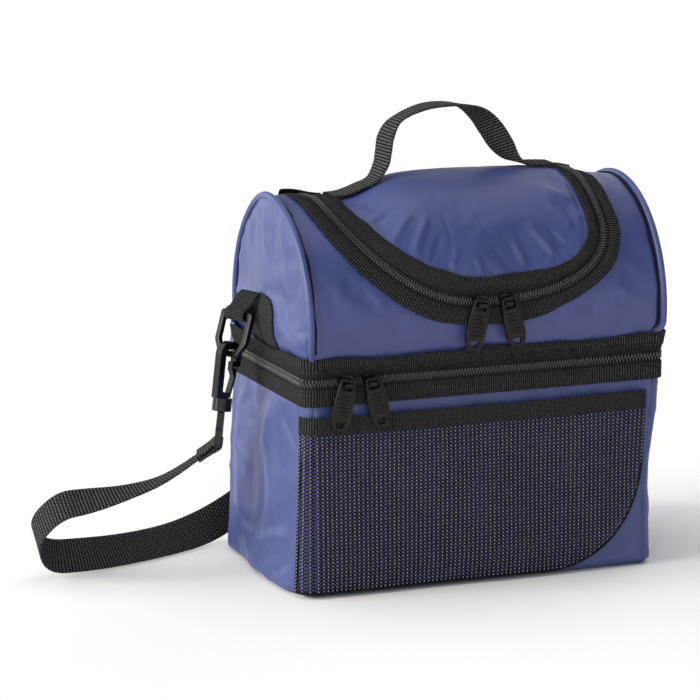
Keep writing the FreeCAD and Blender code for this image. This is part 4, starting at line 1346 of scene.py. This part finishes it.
def pocket(x, z, lift):
    """The slack mesh's surface in front of the bag, down to the turn of its corners."""
    across = np.clip(1 - (x / 127.0) ** 2, 0, 1)
    up = np.clip((z - 3) / 20, 0, 1)
    turn = np.clip(np.abs(x) - HALF_W + CORNER_R, 0, None) / CORNER_R
    swell = wall_swell(FRONT_START + FRONT_LEN / 2 + x, z)
    stand = POCKET_STAND + POCKET_BELLY * np.sqrt(across) * smooth(up) * (0.4 + 0.6 * z / POCKET_TOP)
    folds = 0.7 * np.sin((x + 0.8 * z) / 19.0) * across
    radius = CORNER_R + swell + stand + folds + lift
    place = np.clip(x, CORNER_R - HALF_W, HALF_W - CORNER_R) + np.sign(x) * radius * np.sin(turn)
    depth = HALF_D - CORNER_R + radius * np.cos(turn)
    return np.stack([0.6 * place + 0.4 * leaned(place, z), -depth, z], -1)


def pocket_edge(x):
    """The lower edge of the mesh: a hem along the floor, then a quarter of an ellipse."""
    share = np.clip((x - HEM_CENTRE_X) / HEM_HALF_X, 0, 1)
    return HEM_CENTRE_Z - HEM_HALF_Z * np.sqrt(1 - share ** 2)


def threads(name, lines, width, thick, mat):
    """Flat yarns along lines of points, in one mesh."""
    points, faces = [], []
    for line in lines:
        tangent = unit(np.gradient(line, axis=0))
        side = unit(np.cross(tangent, (0.0, -1.0, 0.0))) * width / 2
        out = np.broadcast_to((0.0, -thick / 2, 0.0), side.shape)
        ring = [side, out, -side, -out]
        base = len(points)
        count = len(line)
        block = np.stack([line + r for r in ring], 1).reshape(-1, 3)
        points += block.tolist()
        for k in range(count - 1):
            for j in range(4):
                a = base + k * 4 + j
                b = base + k * 4 + (j + 1) % 4
                faces.append((a, b, b + 4, a + 4))
        faces.append(tuple(base + j for j in (3, 2, 1, 0)))
        faces.append(tuple(base + (count - 1) * 4 + j for j in range(4)))
    return mesh_object(name, points, faces, mat)


def knots(name, places, size, mat):
    """Small raised knots where the yarns cross."""
    shape = np.array([(1, 0, 0), (0, 0, 1), (-1, 0, 0), (0, 0, -1), (0, -1, 0), (0, 1, 0)]) * size
    pattern = [(0, 4, 1), (1, 4, 2), (2, 4, 3), (3, 4, 0), (1, 5, 0), (2, 5, 1), (3, 5, 2), (0, 5, 3)]
    points = (places[:, None] + shape[None]).reshape(-1, 3)
    faces = [tuple(6 * k + j for j in f) for k in range(len(places)) for f in pattern]
    return mesh_object(name, points, faces, mat)


def front_pocket():
    """Upright and cross yarns with knots, a ribbed top edge, and a hem all round."""
    lines, places = [], []
    top = POCKET_BAND_LOW + 3
    for x in np.arange(POCKET_LEFT + 0.6, POCKET_RIGHT, MESH_X):
        z = np.arange(top, pocket_edge(x), -MESH_Z)
        if len(z) >= SHORTEST_YARN:
            lines.append(pocket(np.full(len(z), x), z, 0.0))
            places.append(pocket(np.full(len(z), x), z, 0.35))
    upright_yarns = threads("front_pocket_yarns", lines, 1.35, 0.5, MESH)
    rows = []
    for z in np.arange(top, HEM_CENTRE_Z - HEM_HALF_Z, -MESH_Z):
        x = np.arange(POCKET_LEFT, POCKET_RIGHT, MESH_X / 2)
        x = x[pocket_edge(x) < z]
        if len(x) >= SHORTEST_YARN:
            rows.append(pocket(x, np.full(len(x), z), 0.0))
    cross_yarns = threads("front_pocket_netting", rows, 0.95, 0.35, MESH)
    # The knots' light grey is a painted highlight.
    raised = knots("front_pocket_knots", np.vstack(places), (0.72, 0.6, 0.85), KNOT_HIGHLIGHT)
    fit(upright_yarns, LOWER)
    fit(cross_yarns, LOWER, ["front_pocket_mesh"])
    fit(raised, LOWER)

    def on_pocket(u, across, height):
        return pocket(u + POCKET_LEFT, across, height)

    band("front_pocket_top_binding", on_pocket, POCKET_RIGHT - POCKET_LEFT, POCKET_BAND_LOW, POCKET_TOP,
         LOWER, ["front_pocket_binding"], pitch=1.3, rib=0.14)
    x = np.linspace(POCKET_LEFT, POCKET_RIGHT, 240)
    line = pocket(x, pocket_edge(x), 0.2)
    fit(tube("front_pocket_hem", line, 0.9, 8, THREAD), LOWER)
    for name, side_x in (("left", POCKET_LEFT), ("right", POCKET_RIGHT)):
        z = np.linspace(pocket_edge(side_x), POCKET_TOP, 90)
        line = pocket(np.full(len(z), side_x), z, -0.3)
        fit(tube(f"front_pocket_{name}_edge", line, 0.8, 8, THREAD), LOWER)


front_pocket()


# ------------------------------------------------------------ linings
def shell_rings(name, rings, body, nodes):
    """A closed solid through level rings, capped at both ends."""
    n, m = len(rings), len(rings[0])
    faces = []
    for k in range(n - 1):
        for j in range(m):
            a, b = k * m + j, k * m + (j + 1) % m
            faces.append((a, b, b + m, a + m))
    faces.append(tuple(range(m))[::-1])
    faces.append(tuple(range((n - 1) * m, n * m)))
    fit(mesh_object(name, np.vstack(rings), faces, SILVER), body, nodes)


def outline_ring(inset, level, crinkle=0.5):
    """A level ring inside the lower compartment's outline, slightly crinkled."""
    u = np.linspace(0, ALL_ROUND, 181)[:-1]
    x, y, nx, ny = outline(u)
    flat = np.stack([x, y, 0 * x + level], 1)
    depth = inset + crinkle * ripple(flat, 22.0, 31)
    return np.stack([leaned(x, level) - nx * depth, y - ny * depth, 0 * x + level], 1)


def lower_lining():
    """The padded tub: up its outer wall, over the rim, and down its inner wall."""
    top, bottom, inset = BAND_MID, 5.3, 7.6
    rings = [outline_ring(5.0, level, 0) for level in np.linspace(bottom - 2.5, top - 8, 12)]
    rings += [outline_ring(3.2, top, 0), outline_ring(4.4, top + 0.6, 0)]
    rings += [outline_ring(inset, level) for level in np.linspace(top, bottom, 30)]
    shell_rings("lower_lining", rings, LOWER, ["lower_liner", "lower_wall_foam", "lower_base_foam"])


def divider_lining():
    """The padded floor of the upper compartment."""
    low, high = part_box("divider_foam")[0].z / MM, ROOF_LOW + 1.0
    rings = [outline_ring(4.5, low + 0.2), outline_ring(3.0, low + 1.2), outline_ring(3.0, high - 1.2),
             outline_ring(4.5, high - 0.2)]
    shell_rings("divider_lining", rings, UPPER, ["divider_liner", "divider_foam"])


LINING_LIFT = -3.6
LINING_T = 2.0
LINING_PITCH, TAB_PITCH = 4.5, 2.6


def padded_sheet(name, loops, surface, body, nodes, seed):
    """A lining with foam behind it: an even sheet with small crinkles."""
    flat, faces, _ = fill([np.asarray(loop, float) for loop in loops], LINING_PITCH)
    level = surface(flat[:, 0], flat[:, 1], np.zeros(len(flat)))
    crinkle = 0.5 * ripple(level, 20.0, seed) + 0.3 * ripple(level, 9.0, seed + 1)
    points = surface(flat[:, 0], flat[:, 1], crinkle)
    obj = mesh_object(name, points, faces.tolist(), SILVER)
    thicken(obj, LINING_T)
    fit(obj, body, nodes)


def lining_roof(x, s, lift):
    """The lining's surface, under the roof's fabric."""
    return roof(x, s, LINING_LIFT + lift)


def upper_lining():
    """The linings of the arch, the lid and the two ends."""
    width = END_X - 5.5
    outer = rect(-width, width, 1.5, ROOF_LENGTH - 1.5)
    hole = lid_loop(BINDING_NEAR + 0.8, HINGE_RUN + 3)
    nodes = ["upper_liner", "upper_barrel_foam"]
    padded_sheet("upper_lining", [outer, hole], lining_roof, UPPER, nodes, 41)
    lid = lid_loop(-BINDING_NEAR - 0.8, HINGE_RUN - 1)
    padded_sheet("lid_lining", [lid], lining_roof, LID, ["lid_liner", "lid_foam"], 43)
    shape = end_loop()
    middle = np.array([0.0, ROOF_LOW + 40])
    loop = middle + (shape - middle) * 0.94
    for side, name in ((-1, "left"), (1, "right")):
        out = END_X - 9.0 if side < 0 else END_X + END_LEAN - 6.0

        def flat_end(y, z, lift, side=side, out=out):
            return np.stack([side * (out + lift), y, z], -1)

        outline_points = loop if side > 0 else loop[::-1]
        padded_sheet(f"upper_{name}_end_lining", [outline_points], flat_end, UPPER,
                     ["upper_end_foam"] if side < 0 else [], 45)


def opening_rims():
    """The edges of the lid and of its opening, where lining meets binding."""
    deep = -LINING_LIFT + LINING_T

    def lowered(u, across, height):
        x, s = beside_zip(u, across)
        return roof(x, s, height - deep)

    for name, low, high, body in (("upper_opening_rim", BINDING_NEAR + 0.2, BINDING_NEAR + 2.2, UPPER),
                                  ("lid_rim", -BINDING_NEAR - 2.2, -BINDING_NEAR - 0.2, LID)):
        section = tape_section(low, high, deep - 0.2, 3)
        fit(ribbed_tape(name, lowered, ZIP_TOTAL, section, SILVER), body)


lower_lining()
divider_lining()
upper_lining()
opening_rims()


# ------------------------------------------------------------ side tabs and their loops
TAB_T = 1.3
LOOP_W = 20.0
# Depth and height of the patch's corners; the left ring's bar, the way out from it and
# along it; and the loop's section: distance out and up from the bar.
TAB_OUTLINE = [(-30, 163), (30, 163), (30, 188), (28, 193), (23, 196.5), (10, 199), (-8, 200),
               (-20, 197), (-27, 190), (-29, 180)]
RING_OUT = np.array([-0.940, -0.342, 0.0])
RING_ALONG = np.array([0.342, -0.940, 0.0])
RING_BAR = np.array([-146.5, 12.0, 184.5])
LOOP_PATH = [(-12.0, 14.5), (-6.5, 11.0), (-1.6, 5.4), (1.6, 3.9), (3.8, 1.4), (3.8, -1.6), (1.4, -3.8),
             (-1.8, -3.6), (-6.0, -0.5), (-12.0, 4.0)]


def side_tabs():
    """On each end, a webbing patch and the loop that holds the strap's ring."""
    for side, name in ((-1, "left"), (1, "right")):
        panel_name = f"upper_{name}_end_fabric"
        loop = np.array(TAB_OUTLINE, float)
        flat, faces, _ = fill([loop], TAB_PITCH)
        x = cloth_level(panel_name, flat, (1, 2), 0, 2.0)
        points = np.stack([x + side * 1.5, flat[:, 0], flat[:, 1]], 1)
        if side < 0:
            faces = faces[:, ::-1]
        patch = mesh_object(f"{name}_side_patch", points, faces.tolist(), BLACK_TAPE,
                            flat[faces].reshape(-1, 2)[:, ::-1] / (1.5, 1.0))
        thicken(patch, TAB_T)
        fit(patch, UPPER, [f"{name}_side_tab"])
        path = catmull([(a, b, 0) for a, b in LOOP_PATH], 120)
        line = RING_BAR + path[:, :1] * RING_OUT + path[:, 1:2] * np.array([0, 0, 1.0])
        lean = np.broadcast_to(RING_ALONG, line.shape).copy()
        if side > 0:
            line, lean = line * (-1, 1, 1), lean * (-1, 1, 1)
        strap = ribbon(f"{name}_ring_loop", line, lean, LOOP_W, 1.2, BLACK_TAPE, 0.15, 1.5)
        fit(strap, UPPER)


side_tabs()


# ------------------------------------------------------------ back hinge
def rear_hinge():
    """The fabric strip that joins the compartments, with one soft pleat."""
    first = SIDE_ZIP_START + SIDE_ZIP_LENGTH + 0.4
    last = ALL_ROUND + SIDE_ZIP_START - 0.4
    u = np.linspace(first, last, 150)
    z = np.linspace(BAND_LOW - 1, UPPER_BAND_HIGH + 1, 26)
    grid_u, grid_z = np.meshgrid(u, z, indexing="ij")
    pleat = 1.3 * np.exp(-((grid_z - ZIP_Z) / 5.0) ** 2)
    soft = 0.4 * np.sin(grid_u / 13.0) * np.exp(-((grid_z - ZIP_Z) / 9.0) ** 2)
    points = wall(grid_u, grid_z, 1.4 + pleat + soft).reshape(-1, 3)
    m = len(z)
    faces = [(k * m + j, (k + 1) * m + j, (k + 1) * m + j + 1, k * m + j + 1)
             for k in range(len(u) - 1) for j in range(m - 1)]
    strip = mesh_object("rear_hinge_fabric", points, faces, NAVY)
    thicken(strip)
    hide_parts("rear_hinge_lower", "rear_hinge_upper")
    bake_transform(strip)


rear_hinge()


# ------------------------------------------------------------ hardware from the frame
# The puller's leaf, from its pivot: its rim's corners, and the bars across it.
RIM = [(-4.4, 0.2), (4.4, 0.2), (5.9, -6), (6.5, -14), (6.5, -26.5), (5.4, -31.5), (3.4, -35.4),
       (-3.4, -35.4), (-5.4, -31.5), (-6.5, -26.5), (-6.5, -14), (-5.9, -6)]
PULLER_LEAN = 12.0
PIVOT_RISE = 1.8
BARS, FIRST_BAR, BAR_PITCH = 6, 11.0, 2.7


def puller_ribs(puller, slider, lean):
    """A plain grip pattern on a puller: raised bars across the leaf, inside a raised rim."""
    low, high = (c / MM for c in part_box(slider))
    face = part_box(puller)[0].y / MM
    pivot = np.array([(low.x + high.x) / 2, face, (low.z + high.z) / 2 + PIVOT_RISE])
    turn = math.radians(lean)
    across = np.array([math.cos(turn), 0, -math.sin(turn)])
    down = np.array([-math.sin(turn), 0, -math.cos(turn)])
    bars = []
    for k in range(BARS):
        half = 4.6 - 0.25 * abs(k - (BARS - 1) / 2)
        middle = pivot + down * (FIRST_BAR + BAR_PITCH * k) + np.array([0, -0.1, 0])
        ends = np.linspace(-half, half, 9)
        path = middle + ends[:, None] * across
        bars.append(tube("bar", path, 0.62 * np.sqrt(1.02 - (ends / half) ** 2) + 0.1, 8, ENAMEL))
    leaf = catmull([(a, b, 0) for a, b in RIM + RIM[:1]], 97)[:-1]
    rim = pivot + leaf[:, :1] * across - leaf[:, 1:2] * down + np.array([0, -0.05, 0])
    bars.append(tube("rim", rim, 0.55, 8, ENAMEL, True))
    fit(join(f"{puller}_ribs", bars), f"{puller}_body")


for zip_name in ("lid", "lower"):
    for side, lean in (("left", PULLER_LEAN), ("right", -PULLER_LEAN)):
        puller_ribs(f"{zip_name}_{side}_puller", f"{zip_name}_{side}_slider", lean)


def finish_node(name, mat, bevel=0.0):
    """A better material, and softened edges, on one of the frame's own nodes."""
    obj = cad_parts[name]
    obj.data.materials.clear()
    obj.data.materials.append(mat)
    if bevel:
        soft = obj.modifiers.new("soft_edges", "BEVEL")
        soft.width = bevel * MM
        soft.segments = 2
        soft.limit_method = "ANGLE"
        soft.angle_limit = math.radians(35)
        soft.harden_normals = False


def finish_hardware():
    """Rings, hooks, zip sliders, pullers and stops keep the frame's own shapes."""
    for side in ("left", "right"):
        finish_node(f"{side}_ring", PLASTIC)
        finish_node(f"{side}_hook", PLASTIC, 0.9)
        finish_node(f"{side}_hook_gate", PLASTIC, 0.5)
        finish_node(f"{side}_hook_base", PLASTIC, 0.7)
        for zip_name in ("lid", "lower"):
            finish_node(f"{zip_name}_{side}_slider", ENAMEL, 0.4)
            finish_node(f"{zip_name}_{side}_puller", ENAMEL, 0.4)
    finish_node("strap_adjuster", PLASTIC, 0.5)
    finish_node("lower_zip_end_stops", COIL, 0.3)


finish_hardware()
